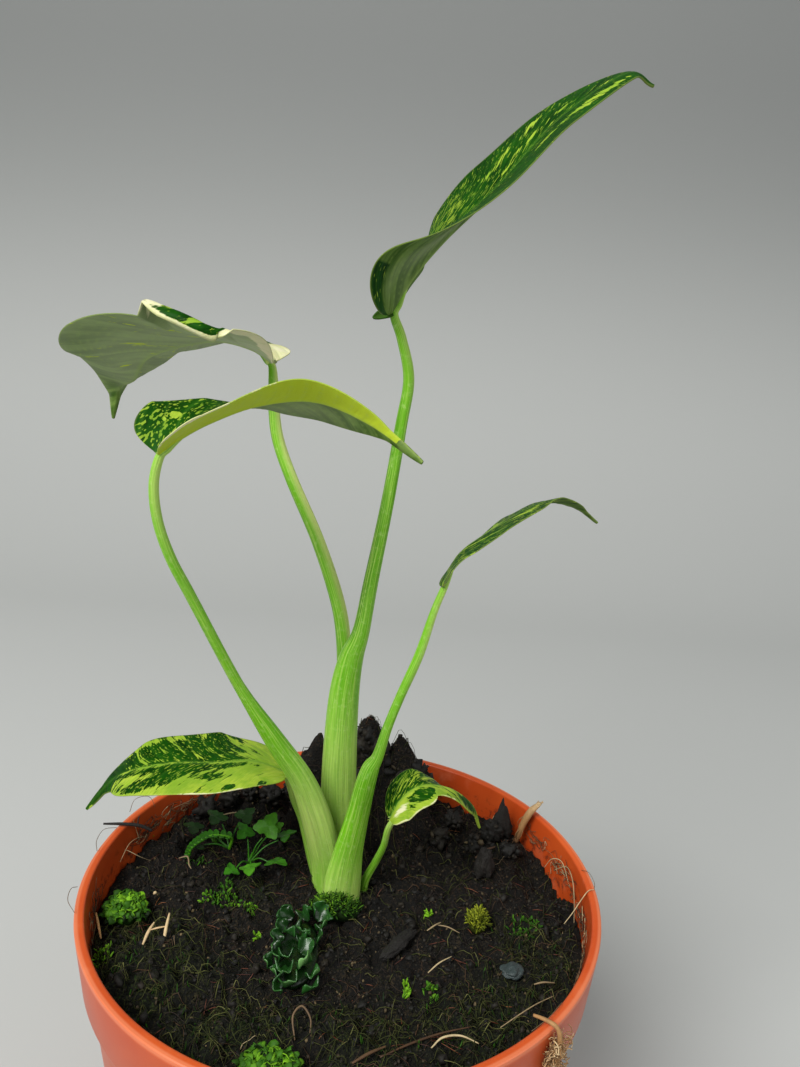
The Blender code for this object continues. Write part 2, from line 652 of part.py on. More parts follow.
def make_stalk(name, path, radius, material, collection):
    """A thin round stalk along a smooth path, tapering to its tip."""
    t = np.linspace(0, 1, 2 * len(path) + 1)
    curve = bpy.data.curves.new(name, "CURVE")
    curve.dimensions = "3D"
    curve.bevel_depth = radius * MM
    curve.bevel_resolution = 1
    curve.use_fill_caps = True
    spline = curve.splines.new("POLY")
    spline.points.add(len(t) - 1)
    for point, place, share in zip(spline.points, world(smooth(path, t)), t):
        point.co = (*place, 1)
        point.radius = 1 - 0.4 * share
    route = bpy.data.objects.new(name + "_route", curve)
    collection.objects.link(route)
    bpy.context.view_layer.update()
    graph = bpy.context.evaluated_depsgraph_get()
    mesh = bpy.data.meshes.new_from_object(route.evaluated_get(graph))
    mesh.materials.clear()
    mesh.materials.append(material)
    weld = bmesh.new()
    weld.from_mesh(mesh)
    bmesh.ops.remove_doubles(weld, verts=weld.verts, dist=0.00001)
    bmesh.ops.recalc_face_normals(weld, faces=weld.faces)
    weld.to_mesh(mesh)
    weld.free()
    stalk = bpy.data.objects.new(name, mesh)
    stalk.matrix_world = route.matrix_world
    collection.objects.link(stalk)
    bpy.data.objects.remove(route, do_unlink=True)
    mesh.shade_smooth()
    return stalk


def make_weed(material, collection):
    """A seedling with five lobed leaflets on thin stalks from one foot."""
    middle, _ = pad("weed_seedling")
    foot = np.array(middle)
    crown = foot + (0, 0, 1)
    base = make_stalk("weed_seedling", (foot, foot + (0, 0, 1.5), foot + (0.6, 1.5, 3)), 0.8, material, collection)
    tips = (
        ((3, 1.5, 7.5), (0.35, 0.6, 0.7), 7.5, 7),
        ((7, 2.5, 6.5), (0.75, 0.5, 0.3), 5.5, 5.5),
        ((-0.8, 2, 6.5), (-0.5, 0.6, 0.5), 5.5, 5.5),
        ((5, -1.5, 3), (0.8, -0.3, 0.2), 6, 6),
        ((1, -3, 3), (0.1, -0.9, 0.1), 5, 5.5),
    )
    pieces = new_collection("weed_pieces")
    for k, (tip, heading, length, width) in enumerate(tips):
        end = foot + tip
        middle_point = (crown + end) / 2 + (0, 0, 1.5)
        make_stalk(f"weed_stalk_{k}", (crown, middle_point, end), 0.5, material, pieces)
        start = end - np.array(Vector(heading).normalized()) * 0.6
        leaflet(f"weed_leaflet_{k}", start, heading, length, width, 5, 0.25 * (-1) ** k, material, pieces)
    fuse(base, pieces)


def make_fern(material, collection):
    """A small frond that arches over, with short leaflets along both sides."""
    middle, _ = pad("fern_sporeling")
    foot = np.array(middle)
    path = (foot, foot + (0.5, -1, 3.8), foot + (-4, -2, 4.8), foot + (-7, -3, 3.6), foot + (-9, -4.5, 2.2),
            foot + (-9.2, -6.5, 1))
    base = make_stalk("fern_sporeling", path, 0.65, material, collection)
    pieces = new_collection("fern_pieces")
    spots = np.linspace(0.3, 0.95, 7)
    places = smooth(path, spots)
    for k, place in enumerate(places):
        for sign in (-1, 1):
            heading = (-0.35, 0.9 * sign, 0.1)
            length = 3.2 * (1 - 0.5 * abs(spots[k] - 0.5))
            start = place - np.array(Vector(heading).normalized()) * 0.4
            leaflet(f"fern_leaflet_{k}_{sign}", start, heading, length, 1.7, 2, 0.1, material, pieces)
    fuse(base, pieces)


def make_chunk(name, size, turn, seed, taper, material, collection):
    """A broken piece with rough faces, standing on a small flat foot and narrowing upwards by its taper."""
    middle, _ = pad(name)
    bpy.ops.mesh.primitive_ico_sphere_add(subdivisions=2, radius=1, location=(0, 0, 0))
    chunk = bpy.context.object
    chunk.name = name
    move_to(chunk, collection)
    cosine, sine = math.cos(turn), math.sin(turn)
    for vertex in chunk.data.vertices:
        rough = 1 + 0.28 * noise.noise(vertex.co * 1.7 + Vector((seed, 0, 0)))
        x = vertex.co.x * size[0] / 2 * rough
        y = vertex.co.y * size[1] / 2 * rough
        z = max(vertex.co.z, -0.6) * size[2] / 1.6 * rough + size[2] * 0.375
        z = max(z, 0.0)
        x *= 1 - taper * z / size[2]
        y *= 1 - taper * z / size[2]
        place = (middle.x + x * cosine - y * sine, middle.y + x * sine + y * cosine, middle.z + z)
        vertex.co = world(place)
    chunk.data.materials.append(material)


def make_coir(material, collection):
    """A tuft of coir caught on the rim: one thread over the rim and strands hanging outside the wall."""
    middle = math.radians(COIR_BEARING)

    def place(radius, aside, z):
        return (radius * math.cos(middle) - aside * math.sin(middle),
                radius * math.sin(middle) + aside * math.cos(middle), z)
    over = (place(56, -0.5, 1.2), place(58.5, 0, 1.7), place(60.7, 0.4, 1.3), place(61.4, 0.8, -1.5),
            place(61.2, 1.2, -6), place(61, 1, -12))
    base = make_stalk("coir_tuft", over, 0.8, material, collection)
    pieces = new_collection("coir_strands")
    random.seed(5)
    for k in range(COIR_STRANDS):
        aside = 1.6 * (-1) ** k
        start = (61.3, 0.9, -2 - 1.8 * k)
        out = random.uniform(0.8, 1.6)
        drop = random.uniform(2.5, 4)
        path = (place(*start), place(start[0] + out, 0.9 + aside, start[2] - 0.3 * drop),
                place(start[0] + 0.8 * out, 0.9 + 1.6 * aside, start[2] - drop))
        make_stalk(f"coir_strand_{k}", path, 0.45, material, pieces)
    fuse(base, pieces)


def clear_scene():
    for obj in list(bpy.data.objects):
        bpy.data.objects.remove(obj, do_unlink=True)


def main():
    clear_scene()
    plant = new_collection("potted_monstera")
    drain_cutters = new_collection("drain_cutters", cutters=True)
    soil_cutters = new_collection("soil_cutters", cutters=True)
    terracotta = make_material("terracotta_plastic", (0.62, 0.13, 0.03), 0.4)
    peat = make_material("peat", (0.02, 0.014, 0.01), 0.95)
    stem = make_material("stem_green", (0.2, 0.42, 0.06), 0.4)
    green = make_material("leaf_green", (0.04, 0.2, 0.03), 0.35)
    moss = make_material("moss_green", (0.06, 0.25, 0.02), 0.9)
    weed = make_material("weed_green", (0.08, 0.3, 0.04), 0.6)
    bark = make_material("bark_brown", (0.06, 0.04, 0.03), 0.9)
    fibre = make_material("coir_fibre", (0.4, 0.26, 0.13), 0.9)
    slate = make_material("slate_grey", (0.08, 0.1, 0.11), 0.6)
    make_pot(plant, drain_cutters, terracotta)
    make_soil(plant, soil_cutters, peat)
    make_crown_solid("crown", 0, CROWN_BOTTOM, CROWN_TOP, stem, plant)
    for name, leaf in LEAVES.items():
        make_petiole_solid(f"petiole_{name}", leaf, 0, stem, plant)
        make_blade(f"blade_{name}", leaf, green, plant)
    make_cushion("moss_left", (5.2, 5), 4, moss, plant)
    make_cushion("moss_stem", (6.6, 2.4), 4, moss, plant)
    make_cushion("moss_front", (5.6, 4.2), 2.4, moss, plant)
    make_cushion("moss_lump", (2.4, 3.2), 4, moss, plant)
    make_liverwort(moss, plant)
    make_weed(weed, plant)
    make_fern(weed, plant)
    make_chunk("bark_strip", (12, 3, 1.8), 0.95, 1.0, 0, bark, plant)
    make_chunk("wood_chunk", (5, 4, 8), 0.3, 2.0, 0.2, bark, plant)
    make_chunk("wood_shard", (7.5, 4, 11), 0.2, 4.0, 0.8, bark, plant)
    make_chunk("slate_chip", (6, 4.5, 1.8), 0.4, 3.0, 0, slate, plant)
    make_stalk("rim_twig", RIM_TWIG, 0.45, bark, plant)
    make_stalk("husk", HUSK, 1.1, fibre, plant)
    make_coir(fibre, plant)


main()
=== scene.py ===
"""Looks for a young variegated monstera in a round nursery pot. Metres, +Z up.

Tables of places are in millimetres. Heights count from the pot's rim, up positive, as in the solids."""

import math

import bmesh
import bpy
import numpy as np
from mathutils import Matrix, Vector, noise

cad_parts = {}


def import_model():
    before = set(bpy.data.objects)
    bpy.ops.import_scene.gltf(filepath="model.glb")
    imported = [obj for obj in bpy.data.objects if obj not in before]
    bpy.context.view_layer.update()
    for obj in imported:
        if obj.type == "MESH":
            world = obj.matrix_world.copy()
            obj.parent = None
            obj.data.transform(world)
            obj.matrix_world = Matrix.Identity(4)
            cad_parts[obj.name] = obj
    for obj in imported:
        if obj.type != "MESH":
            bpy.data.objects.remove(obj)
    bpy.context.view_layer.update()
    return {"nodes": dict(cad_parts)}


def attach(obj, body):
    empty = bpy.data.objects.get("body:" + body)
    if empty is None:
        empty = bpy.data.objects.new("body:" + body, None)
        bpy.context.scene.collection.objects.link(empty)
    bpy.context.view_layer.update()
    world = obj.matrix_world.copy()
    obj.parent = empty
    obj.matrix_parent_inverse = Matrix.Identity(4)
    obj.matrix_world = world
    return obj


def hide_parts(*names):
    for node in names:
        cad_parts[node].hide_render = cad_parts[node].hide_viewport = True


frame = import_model()

MM = 0.001
BODY = "root"

# Pot
RIM_RADIUS = 60.0
POT_HEIGHT = 107.0
RIM_TOP = 2.2
WALL = 1.2
COLLAR_HEIGHT = 14.0
COLLAR_TAPER = 5.5
COLLAR_FOOT = RIM_RADIUS - COLLAR_HEIGHT * math.tan(math.radians(COLLAR_TAPER))
BODY_TAPER = 7.0
SHOULDER = 1.5
FLOOR = 2.0
POT_SEGMENTS = 192
DRAIN_HOLES = 8
DRAIN_CIRCLE = 33.0
DRAIN_RADIUS = 3.5
DRAIN_SEGMENTS = 32
FLOOR_MIDDLE = 4
RIM_CORNER = 0.6
CORNER_STEPS = 4
SHARP_ANGLE = 35
# Zones of the pot's colour, in metres: from where a zone is absent to where it is full
INNER_WALL_REACH = (0.0583, 0.0577)
INNER_WALL_HEIGHT = (0.092, 0.0935)
SOILED_HEIGHT = (0.1055, 0.099)
OUTSIDE_HEIGHT = (0.1066, 0.105)
RIM_EDGE_REACH = (0.0589, 0.0594)
RIM_EDGE_HEIGHT = (0.1055, 0.1064)

# Soil
SOIL_LEVEL = -8.5
SOIL_GRAIN = 1.0
SOIL_GRID = 250
LUMP_SQUARENESS = 2.2
PAD_BLEND = 0.35
# Size and depth of the clods, of the crumbs and of the finest roughness
CLOD_RELIEF = (4.2, 1.9)
CRUMB_RELIEF = (1.3, 0.8)
FINE_RELIEF = (2.4, 1.3)
# The soil's edge: its height at the wall, its gap to the wall above and below, and its gap to the floor
SOIL_EDGE_HEIGHT = -2
SOIL_EDGE_GAP = 0.4
BURIED_GAP = 0.6
SOIL_FOOT_GAP = 0.3
# Largest distance from the pot's middle at which something may lie on the soil
SOIL_REACH = 56.0
# How many loose bits of each kind are scattered
CRUMBS = 4200
CRUMBS_ON_CLOD = 18
LOOSE_ROOTS = 650
NEEDLES = 150
FUZZ_THREADS = 6200
LOOSE_SHOOTS = 2600
COIR_HAIRS = 240
HUSK_STRANDS = 14
LUMP_KINDS = 6
# x, y, radius across x, radius across y, rise
SOIL_LUMPS = (
    (4, 34, 15, 9, 21),
    (3.2, 34, 4.8, 5, 11),
    (-13, 34, 4.6, 5, 19),
    (15, 35, 6, 5, 8),
    (40, 26, 7, 6, 4),
    (-40, -22, 16, 14, 2.5),
    (-4, -44, 30, 10, 3.5),
    (-33, 42, 7, 6, 2.5),
    (50, 16, 7, 7, -3),
    (46, 34, 6, 5, -4),
)
# Level places where something stands on the soil: x, y, radius, height
SOIL_PADS = {
    "moss_left": (-49.5, -8.5, 8, -8.8),
    "moss_stem": (-1.8, -3.4, 7, -9.3),
    "moss_front": (-9.6, -49, 7, -6.8),
    "moss_lump": (32, -5, 4, -8.5),
    "liverwort": (-8.3, -17.5, 12, -9),
    "weed_seedling": (-25, 11.4, 3.5, -9),
    "fern_sporeling": (-31.5, 18.5, 3, -9),
    "bark_strip": (13.5, -14, 7, -8.5),
    "wood_chunk": (35, 13, 4, -8),
    "wood_shard": (41, 30, 5, -7.5),
    "slate_chip": (38.5, -19.5, 4, -8.5),
}
# Mossy ground: x, y, radius
MOSSY_GROUND = (
    (-40, -30, 17), (-20, -44, 16), (-46, -14, 8), (30, -38, 14), (44, -8, 9),
    (8, -42, 12), (-24, 2, 6), (38, -24, 9), (-50, -22, 7), (50, -18, 7),
)
COIR_BEARING = -45.0
COLLAR_SLOPE = 0.096
RIM_TWIG = ((-50, 12.5, -0.9), (-53, 12.3, 0.4), (-57, 12, 0.8), (-62, 11.5, 0.8))
HUSK = ((45.3, 28, -7.2), (46, 28, -4.5), (46.8, 28, -1.5), (48.5, 28, 2.2), (50.8, 28, 4.8))

# Leaves
LAMINA = 0.55
MIDRIB_RISE = 0.5
TIP_HALF_WIDTH = 0.35
EDGE_THINNING = 0.62
VEIN_SPACING = 3.4
VEIN_DEPTH = 0.1
GROOVE_DEPTH = 0.16
BLADE_STATIONS = 150
BLADE_COLUMNS = 53
ROLL_STEPS = 400
SHEATH_WALL = 0.95
SHEATH_GAP = 50.0
OUTER_POINTS = 37
INNER_POINTS = 17
PETIOLE_STATIONS = 150
# The rib as which the petiole runs on under the blade: shares of its stretch, and how thick it still is there
RIB_PLACES = np.array((0.0, 0.33, 0.67, 1.0))
RIB_SHARES = np.array((1.0, 0.8, 0.55, 0.25))

# A blade that isn't rolled, and one whose far edge lies straight behind its midrib
NO_ROLL = (0, 0, 1, 0.8, 0.2, 0)
STRAIGHT_SIDE = ((0, 1, 0), (0, 1, 0))
# midrib and petiole: points along each, from base to tip and from foot to blade.
# midrib_share: the share of the blade's length along which the petiole still shows as a thick rib.
# half: widest half-widths of the near and the far side of the blade.
# side: level direction to the far edge, at the blade's base and at its tip.
# facing: +1 if the blade grows to the right, -1 if it grows to the left.
# near, far: degrees that each half rises from the level, at seven stations from base to tip.
# wave: how high the edge waves, how many waves there are, and where along them the base stands.
# roll: how far the near edge curls under, in degrees, the stretch of the blade where it does, where across
# the half the curl starts and the share it takes, and how far it is lifted.
# lobes: how far the near and the far side of the blade's base sweep back.
# slow_start: the share of the length over which the near and the far half grow out from the petiole.
# width, flatness, opening: half-width of the petiole's section from foot to blade, its depth as a share of
# that, and how open its channel is. open_towards: the direction in which the channel opens.
LEAVES = {
    "tall": dict(
        midrib_share=0.16, half=(14, 15), facing=1, wave=(0.5, 2.5, 0.0), lobes=(0, 2),
        midrib=((3, 2, 129.2), (6.5, -1, 136), (12.5, -3.5, 143.5), (22, -7, 153), (32, -7, 165),
                (43.9, -5.5, 174), (49.6, -4, 172.9)),
        near=(10, 25, 7, -10, -20, -28, -50), far=(-5, 0, 20, 30, 29, 20, 20),
        petiole=((-0.7, 13, -11.7), (-1.8, 12, 0), (-3, 10.8, 14), (-3.2, 9.6, 28), (-2.8, 8.8, 42),
                 (-1.6, 8, 51), (0.4, 7.5, 58), (2, 7.2, 70), (4.7, 6.4, 89), (6.6, 5.6, 106),
                 (7.6, 4.8, 116), (5.6, 3.3, 124.2)),
        width=(4.4, 4.4, 4.4, 4.1, 3.6, 2.9, 2, 1.7, 1.45, 1.3, 1.2, 1.05, 0.9),
        flatness=(0.72, 0.72, 0.74, 0.76, 0.8, 0.9, 1, 1, 1, 1, 1, 1, 1),
        opening=(1, 1, 1, 1, 1, 0.7, 0.15, 0, 0, 0, 0, 0, 0), open_towards=(-0.3, 0.95, 0),
    ),
    "drooping": dict(
        midrib_share=0.12, half=(24, 15), side=((0.25, 0.97, 0), (1, 0.3, 0.1)), facing=-1,
        wave=(0.2, 3.5, 0.6), roll=(150, 0.12, 0.365, 0.84, 0.16, 4.5), lobes=(2, 1),
        midrib=((-23.8, 20, 117.3), (-29.5, 21.5, 120.5), (-39.5, 23, 121.5), (-55, 28, 117),
                (-62.5, 38, 110.5), (-69, 46.5, 107.5), (-72.5, 51, 99)),
        near=(33, 13, 7, 17, 27, 32, 35), far=(20, 0, 3, 9, 26, 40, 55),
        petiole=((-1.2, 14.6, -11.7), (-2.2, 13.6, 0), (-3.4, 12.5, 14), (-3.7, 12.1, 28), (-3.5, 12.7, 42),
                 (-4, 13.6, 53), (-6, 14, 63), (-11.3, 15, 77), (-18.1, 16, 91), (-21.7, 16.6, 100),
                 (-23, 17.4, 107), (-23.5, 18.6, 112.5)),
        width=(1.5, 1.5, 1.5, 1.5, 1.6, 1.75, 1.7, 1.55, 1.45, 1.4, 1.3, 1.15, 0.9),
        flatness=(1,) * 13, opening=(0,) * 13, open_towards=(-0.6, 0.6, 0.5),
    ),
    "arching": dict(
        midrib_share=0.24, half=(13.3, 14), facing=1, wave=(0.35, 2.0, 1.2), lobes=(0, 5),
        slow_start=(0.2, 0),
        midrib=((-37.7, -22.5, 100.4), (-34, -22, 103.6), (-28.5, -20, 107), (-20, -19, 110.5),
                (-9.5, -20, 112), (1, -25, 109), (11, -30, 103)),
        near=(-5, 0, 5, 10, 25, 40, 65), far=(60, 44, 18, -10, -30, -40, -55),
        petiole=((-4.4, 6.9, -11.7), (-4.8, 6.4, -3), (-6.1, 5.5, 4), (-8.2, 3.6, 13.3), (-11.4, 1, 23.1),
                 (-17.4, -3, 34.8), (-23.2, -7, 46.4), (-26.9, -10, 55.1), (-32.9, -16, 71.3),
                 (-36.1, -19, 79.8), (-38, -21, 87.5), (-38.4, -22, 94.5)),
        width=(4, 4.2, 4.2, 3.9, 3.1, 2.35, 1.35, 1.15, 1.1, 1.05, 1, 0.95, 0.85),
        flatness=(0.6, 0.6, 0.62, 0.7, 0.8, 0.9, 1, 1, 1, 1, 1, 1, 1),
        opening=(1, 1, 1, 1, 1, 1, 0.5, 0, 0, 0, 0, 0, 0), open_towards=(0.35, 0.93, 0),
    ),
    "slender": dict(
        midrib_share=0.15, half=(9, 9), facing=1, wave=(0.2, 2.0, 2.0), lobes=(0, 0),
        midrib=((17.5, -3, 73), (21, -1, 80), (27.5, 1, 85), (34.5, 5, 89), (41, 9.5, 91), (48, 13.5, 89.5),
                (54, 16.5, 85.5)),
        near=(5, 0, 5, 5, 15, 20, 20), far=(5, -15, -15, -10, -15, -20, -25),
        petiole=((-0.6, 2.2, -11.7), (-0.4, 2, -4), (0.5, 1.6, 4), (1.6, 1.2, 10.5), (2.6, 0.5, 16.5),
                 (3.6, -0.5, 23), (4.7, -1, 28), (6.2, -1.4, 31.4), (8, -2, 39), (10.4, -2.6, 47),
                 (13.8, -3, 57), (16.3, -3, 67)),
        width=(4.6, 4.6, 3.7, 3.1, 2.7, 2.4, 2, 1.35, 1.1, 1.05, 1.05, 0.85, 0.75),
        flatness=(0.52, 0.54, 0.6, 0.7, 0.8, 0.9, 1, 1, 1, 1, 1, 1, 1),
        opening=(1, 1, 1, 1, 1, 1, 0.6, 0, 0, 0, 0, 0, 0), open_towards=(-0.35, 0.93, 0),
    ),
    "low": dict(
        midrib_share=0.1, half=(12.5, 12.5), facing=-1, wave=(0.35, 3.0, 0.4), lobes=(-0.6, 1),
        midrib=((-15, 5, 22), (-23, 4, 25), (-31.5, 2, 25), (-41, 1.5, 24.5), (-50, 1, 22.5), (-56.5, 3, 18),
                (-62.5, 2.5, 10.5)),
        near=(10, 2, 0, -10, -15, -25, -75), far=(-5, -5, 5, 10, 20, 20, 40),
        petiole=((-6.8, 11.7, -11.7), (-8.4, 11, -5.5), (-10.1, 10, 2.7), (-11.3, 9, 8.3), (-12.9, 7, 13.7),
                 (-13.9, 5, 18)),
        width=(1.6, 1.6, 1.6, 1.6, 1.45, 1.15, 0.9), flatness=(1,) * 7, opening=(0,) * 7,
        open_towards=(0.8, 0.3, 0.3),
    ),
    "small": dict(
        midrib_share=0.14, half=(7.5, 7.5), side=((0.2, 1, 0), (0.2, 1, 0)), facing=1,
        wave=(0.15, 2.0, 0.0), lobes=(1, 1),
        midrib=((10, -0.5, 15), (12, 0.5, 19), (15.5, 1, 22.5), (19.5, 2, 23), (24.5, 2, 22), (29.5, 4, 17),
                (32, 6.5, 10)),
        near=(-20, -25, -15, 10, 10, -10, -25), far=(25, 28, 16, -15, -50, -50, -40),
        petiole=((4.4, 7, -11.7), (5.1, 6, -6), (7.3, 4.5, 0.2), (8.9, 2.2, 6.1), (9.6, 0.3, 11.5)),
        width=(1, 1, 0.9, 0.8, 0.75, 0.7), flatness=(1,) * 6, opening=(0,) * 6, open_towards=(-0.5, 0.5, 0.3),
    ),
}

# Tone along each petiole, from foot to blade: 0 dark green, 0.5 fresh green, 1 pale yellow-green
PETIOLE_TONES = {
    "tall": (0.7, 0.74, 0.74, 0.7, 0.56, 0.46, 0.4, 0.36, 0.38, 0.4, 0.54, 0.62),
    "drooping": (0.6, 0.6, 0.6, 0.62, 0.66, 0.72, 0.78, 0.8, 0.8, 0.82, 0.86, 0.9),
    "arching": (0.64, 0.68, 0.76, 0.8, 0.7, 0.52, 0.44, 0.4, 0.42, 0.48, 0.58, 0.66),
    "slender": (0.82, 0.72, 0.6, 0.5, 0.38, 0.32, 0.32, 0.36, 0.44, 0.54, 0.64, 0.7),
    "low": (0.6, 0.6, 0.6, 0.6, 0.6, 0.7),
    "small": (0.4, 0.4, 0.45, 0.55, 0.7, 0.8),
}
# How much darker each petiole's right side is painted than its left: painted shade, with the light from the
# left, and on the drooping petiole partly also its own paler band along the left
PAINTED_SIDE_SHADE = {"tall": 0.2, "drooping": 0.42, "arching": 0.14, "slender": 0.16, "low": 0.1, "small": 0.1}

# Tissue of each blade, far half and near half: how much is yellow, how densely it is flecked, how much is
# cream. The patches change yellow, flecked changes the flecks, pale the cream and the bloom patches the
# bloom:
# share of the length, share of the half-width (near edge -1, far edge +1), the two radii, and the change.
# The bloom is the pale cast of the underside, partly its own paler colour and partly a painted sheen. slant:
# how far the side veins lean forward.
MARKINGS = {
    "tall": dict(
        slant=2.2, yellow=(-0.13, -0.12), flecks=(-0.05, -0.06), cream=(-0.6, -0.6), bloom_and_sheen=0.0,
        patches=((0.5, 0.46, 0.05, 0.07, 0.24), (0.57, 0.56, 0.06, 0.07, 0.22),
                 (0.65, 0.68, 0.06, 0.08, 0.24), (0.62, 0.25, 0.06, 0.06, 0.26),
                 (0.7, 0.32, 0.05, 0.07, 0.25), (0.54, 0.13, 0.05, 0.05, 0.22),
                 (0.6, -0.45, 0.05, 0.09, 0.2), (0.69, -0.42, 0.06, 0.1, 0.28),
                 (0.78, -0.6, 0.08, 0.16, 0.3), (0.8, 0.1, 0.05, 0.12, 0.22), (0.41, 0.5, 0.03, 0.06, 0.2),
                 (0.4, 0.0, 0.05, 0.2, 0.08), (0.93, 0, 0.08, 1, -0.3), (0.1, -0.84, 0.03, 0.05, 0.2)),
        flecked=((0.36, 0.5, 0.1, 0.5, 0.12), (0.5, 0, 0.2, 0.3, 0.03), (0.95, 0, 0.1, 1, -0.3)),
        pale=(),
        bloom_and_sheen_patches=((0.16, -0.5, 0.1, 0.12, 0.12), (0.3, -0.3, 0.12, 0.2, 0.3), (0.1, -0.1, 0.1, 0.2, 0.1)),
    ),
    "drooping": dict(
        slant=1.25, yellow=(-0.03, -0.04), flecks=(-0.04, -0.06), cream=(-0.5, -0.5), bloom_and_sheen=0.4,
        patches=((0.9, 0, 0.15, 1, -0.2), (0.25, -0.86, 0.06, 0.05, 0.1)),
        flecked=((0.9, 0, 0.15, 1, -0.3),),
        pale=((0.24, -0.99, 0.15, 0.05, 1.2), (0.345, -0.87, 0.03, 0.06, 1.2),
              (0.13, -0.86, 0.035, 0.08, 1.0), (0.24, -0.86, 0.06, 0.045, -1.4),
              (0.06, 0.8, 0.12, 0.7, 1.2), (0.0, -0.85, 0.1, 0.7, 1.2)),
        bloom_and_sheen_patches=((0.1, 0, 0.2, 1.2, 0.4), (0.95, 0, 0.15, 1.2, -0.5), (0.55, -0.8, 0.14, 0.25, -0.15)),
    ),
    "arching": dict(
        slant=0.7, yellow=(-0.2, 0.4), flecks=(0.03, 0.1), cream=(-0.6, -0.35), bloom_and_sheen=0.12,
        patches=((0.225, 0.5, 0.03, 0.11, 0.75), (0.16, 0.47, 0.012, 0.05, 0.6), (0.3, 0.35, 0.06, 0.1, 0.1),
                 (0.08, 0.7, 0.05, 0.3, 0.06), (0.98, -0.5, 0.08, 1, -0.6)),
        flecked=((0.13, 0.6, 0.12, 0.4, 0.05), (0.6, 0.3, 0.25, 0.6, -0.12)),
        pale=((0.2, -1, 0.16, 0.2, 0.5), (0.45, -1.02, 0.3, 0.1, 0.45), (0.12, -0.6, 0.12, 0.3, 0.22)),
        bloom_and_sheen_patches=((0.6, 0.5, 0.15, 0.5, 0.2), (0.95, 0.5, 0.15, 1, -0.2)),
    ),
    "slender": dict(
        slant=1.8, yellow=(-0.01, 0.0), flecks=(0.02, 0.0), cream=(-0.26, -0.28), bloom_and_sheen=0.0,
        patches=((0.85, 0, 0.15, 1, -0.3), (0.3, 0.3, 0.12, 0.25, 0.12), (0.47, -0.4, 0.1, 0.2, 0.14)),
        flecked=((0.85, 0, 0.15, 1, -0.3),),
        pale=((0.05, 0.0, 0.08, 1.0, 0.25), (0.35, 0.2, 0.15, 0.15, 0.2), (0.25, -0.5, 0.12, 0.12, 0.18),
              (0.85, 0, 0.15, 1, -0.3)),
        bloom_and_sheen_patches=((0.05, 0, 0.1, 1, 0.3), (0.9, 0, 0.2, 1, -0.2)),
    ),
    "low": dict(
        slant=1.1, yellow=(0.01, 0.23), flecks=(-0.01, 0.02), cream=(-0.6, -0.5), bloom_and_sheen=0.2,
        patches=((0.05, 0.25, 0.12, 0.35, 0.4), (0.43, -0.14, 0.1, 0.14, -0.4),
                 (0.5, -0.36, 0.1, 0.14, -0.34), (0.58, -0.58, 0.09, 0.14, -0.34),
                 (0.66, -0.8, 0.07, 0.15, -0.34), (0.66, -0.16, 0.16, 0.14, -0.26),
                 (0.28, -0.88, 0.02, 0.08, -0.5), (0.12, -0.92, 0.02, 0.08, -0.45),
                 (0.25, -0.15, 0.12, 0.08, -0.28), (0.34, -0.5, 0.05, 0.1, -0.25), (0.9, 0, 0.1, 1.2, -0.6),
                 (0.7, 0.9, 0.2, 0.1, 0.2), (0.1, 0.8, 0.12, 0.25, 0.3)),
        flecked=((0.9, 0, 0.1, 1.2, -0.4),),
        pale=((0.3, -1, 0.5, 0.05, 0.6), (0.2, -0.6, 0.15, 0.3, 0.06)),
        bloom_and_sheen_patches=(),
    ),
    "small": dict(
        slant=1.25, yellow=(-0.01, 0.25), flecks=(0.03, 0.0), cream=(-0.45, -0.1), bloom_and_sheen=0.1,
        patches=((0.39, -0.45, 0.14, 0.3, -0.5), (0.75, -0.4, 0.12, 0.5, -0.3), (0.9, 0, 0.12, 1.2, -0.1)),
        flecked=((0.8, 0, 0.15, 1, -0.1),),
        pale=((0.39, -0.45, 0.12, 0.28, -0.3), (0.3, -1, 0.5, 0.08, 0.22), (0.4, 1, 0.4, 0.06, 0.2),
              (0.15, -0.4, 0.12, 0.2, 0.25)),
        bloom_and_sheen_patches=(),
    ),
}

# Where the tall blade's underside along its near edge takes the colours of its upper side: share of the
# length and of the half-width
UPPER_TONED_EDGE = (0.2, -0.7)
# A pointed flap at the tall blade's base: its foot, heading, length and width
BASE_FLAP = ((3.0, 1.4, 129.7), (-0.82, -0.2, -0.5), 4.3, 2.7)

# Small growth. A small leaf's form: how cupped it is across, how it curls along its length, its thickness,
# its points along and across, and how ruffled its edge is
NEEDLE_SHOOT = {"cup": 0.3, "curl": 0.7, "thick": 0.12, "rows": 4, "columns": 3}
CURLY_SHOOT = {"cup": 0.8, "curl": 1.2, "thick": 0.13, "rows": 6, "columns": 7, "ruffle": 0.8}
TUFT_SHOOT = {"cup": 0.4, "curl": 0.9, "thick": 0.12, "rows": 4, "columns": 3}
CREEPING_SHOOT = {"cup": 0.2, "curl": 0.8, "thick": 0.1, "rows": 4, "columns": 3}
FERN_LEAFLET = {"cup": 0.2, "curl": 0.5, "thick": 0.14, "rows": 6, "columns": 5, "ruffle": 0.2}
FLAP_FORM = {"cup": 0.4, "curl": 0.5, "thick": 0.35, "rows": 14, "columns": 9, "ruffle": 0.12, "point": 0.42}
LIVERWORT_POINTS = 13
# Moss cushions: radii, height, how many shoots, finish, and whether the shoots are needles
MOSS_CUSHIONS = {
    "moss_left": ((4.5, 4.3), 3.4, 300, "moss_green", False),
    "moss_stem": ((6.6, 2.4), 4.6, 560, "dark_moss", True),
    "moss_front": ((5.4, 4.0), 2.0, 240, "moss_green", False),
    "moss_lump": ((2.2, 2.9), 3.6, 260, "gold_moss", True),
}
SCALLOPS = 3
SCALLOP_DEPTH = 0.22
LEAFLET_CUP = 0.25
LEAFLET_THICKNESS = 0.22
LEAFLET_RINGS = 6
SHARP_LEAFLET_ANGLE = 50

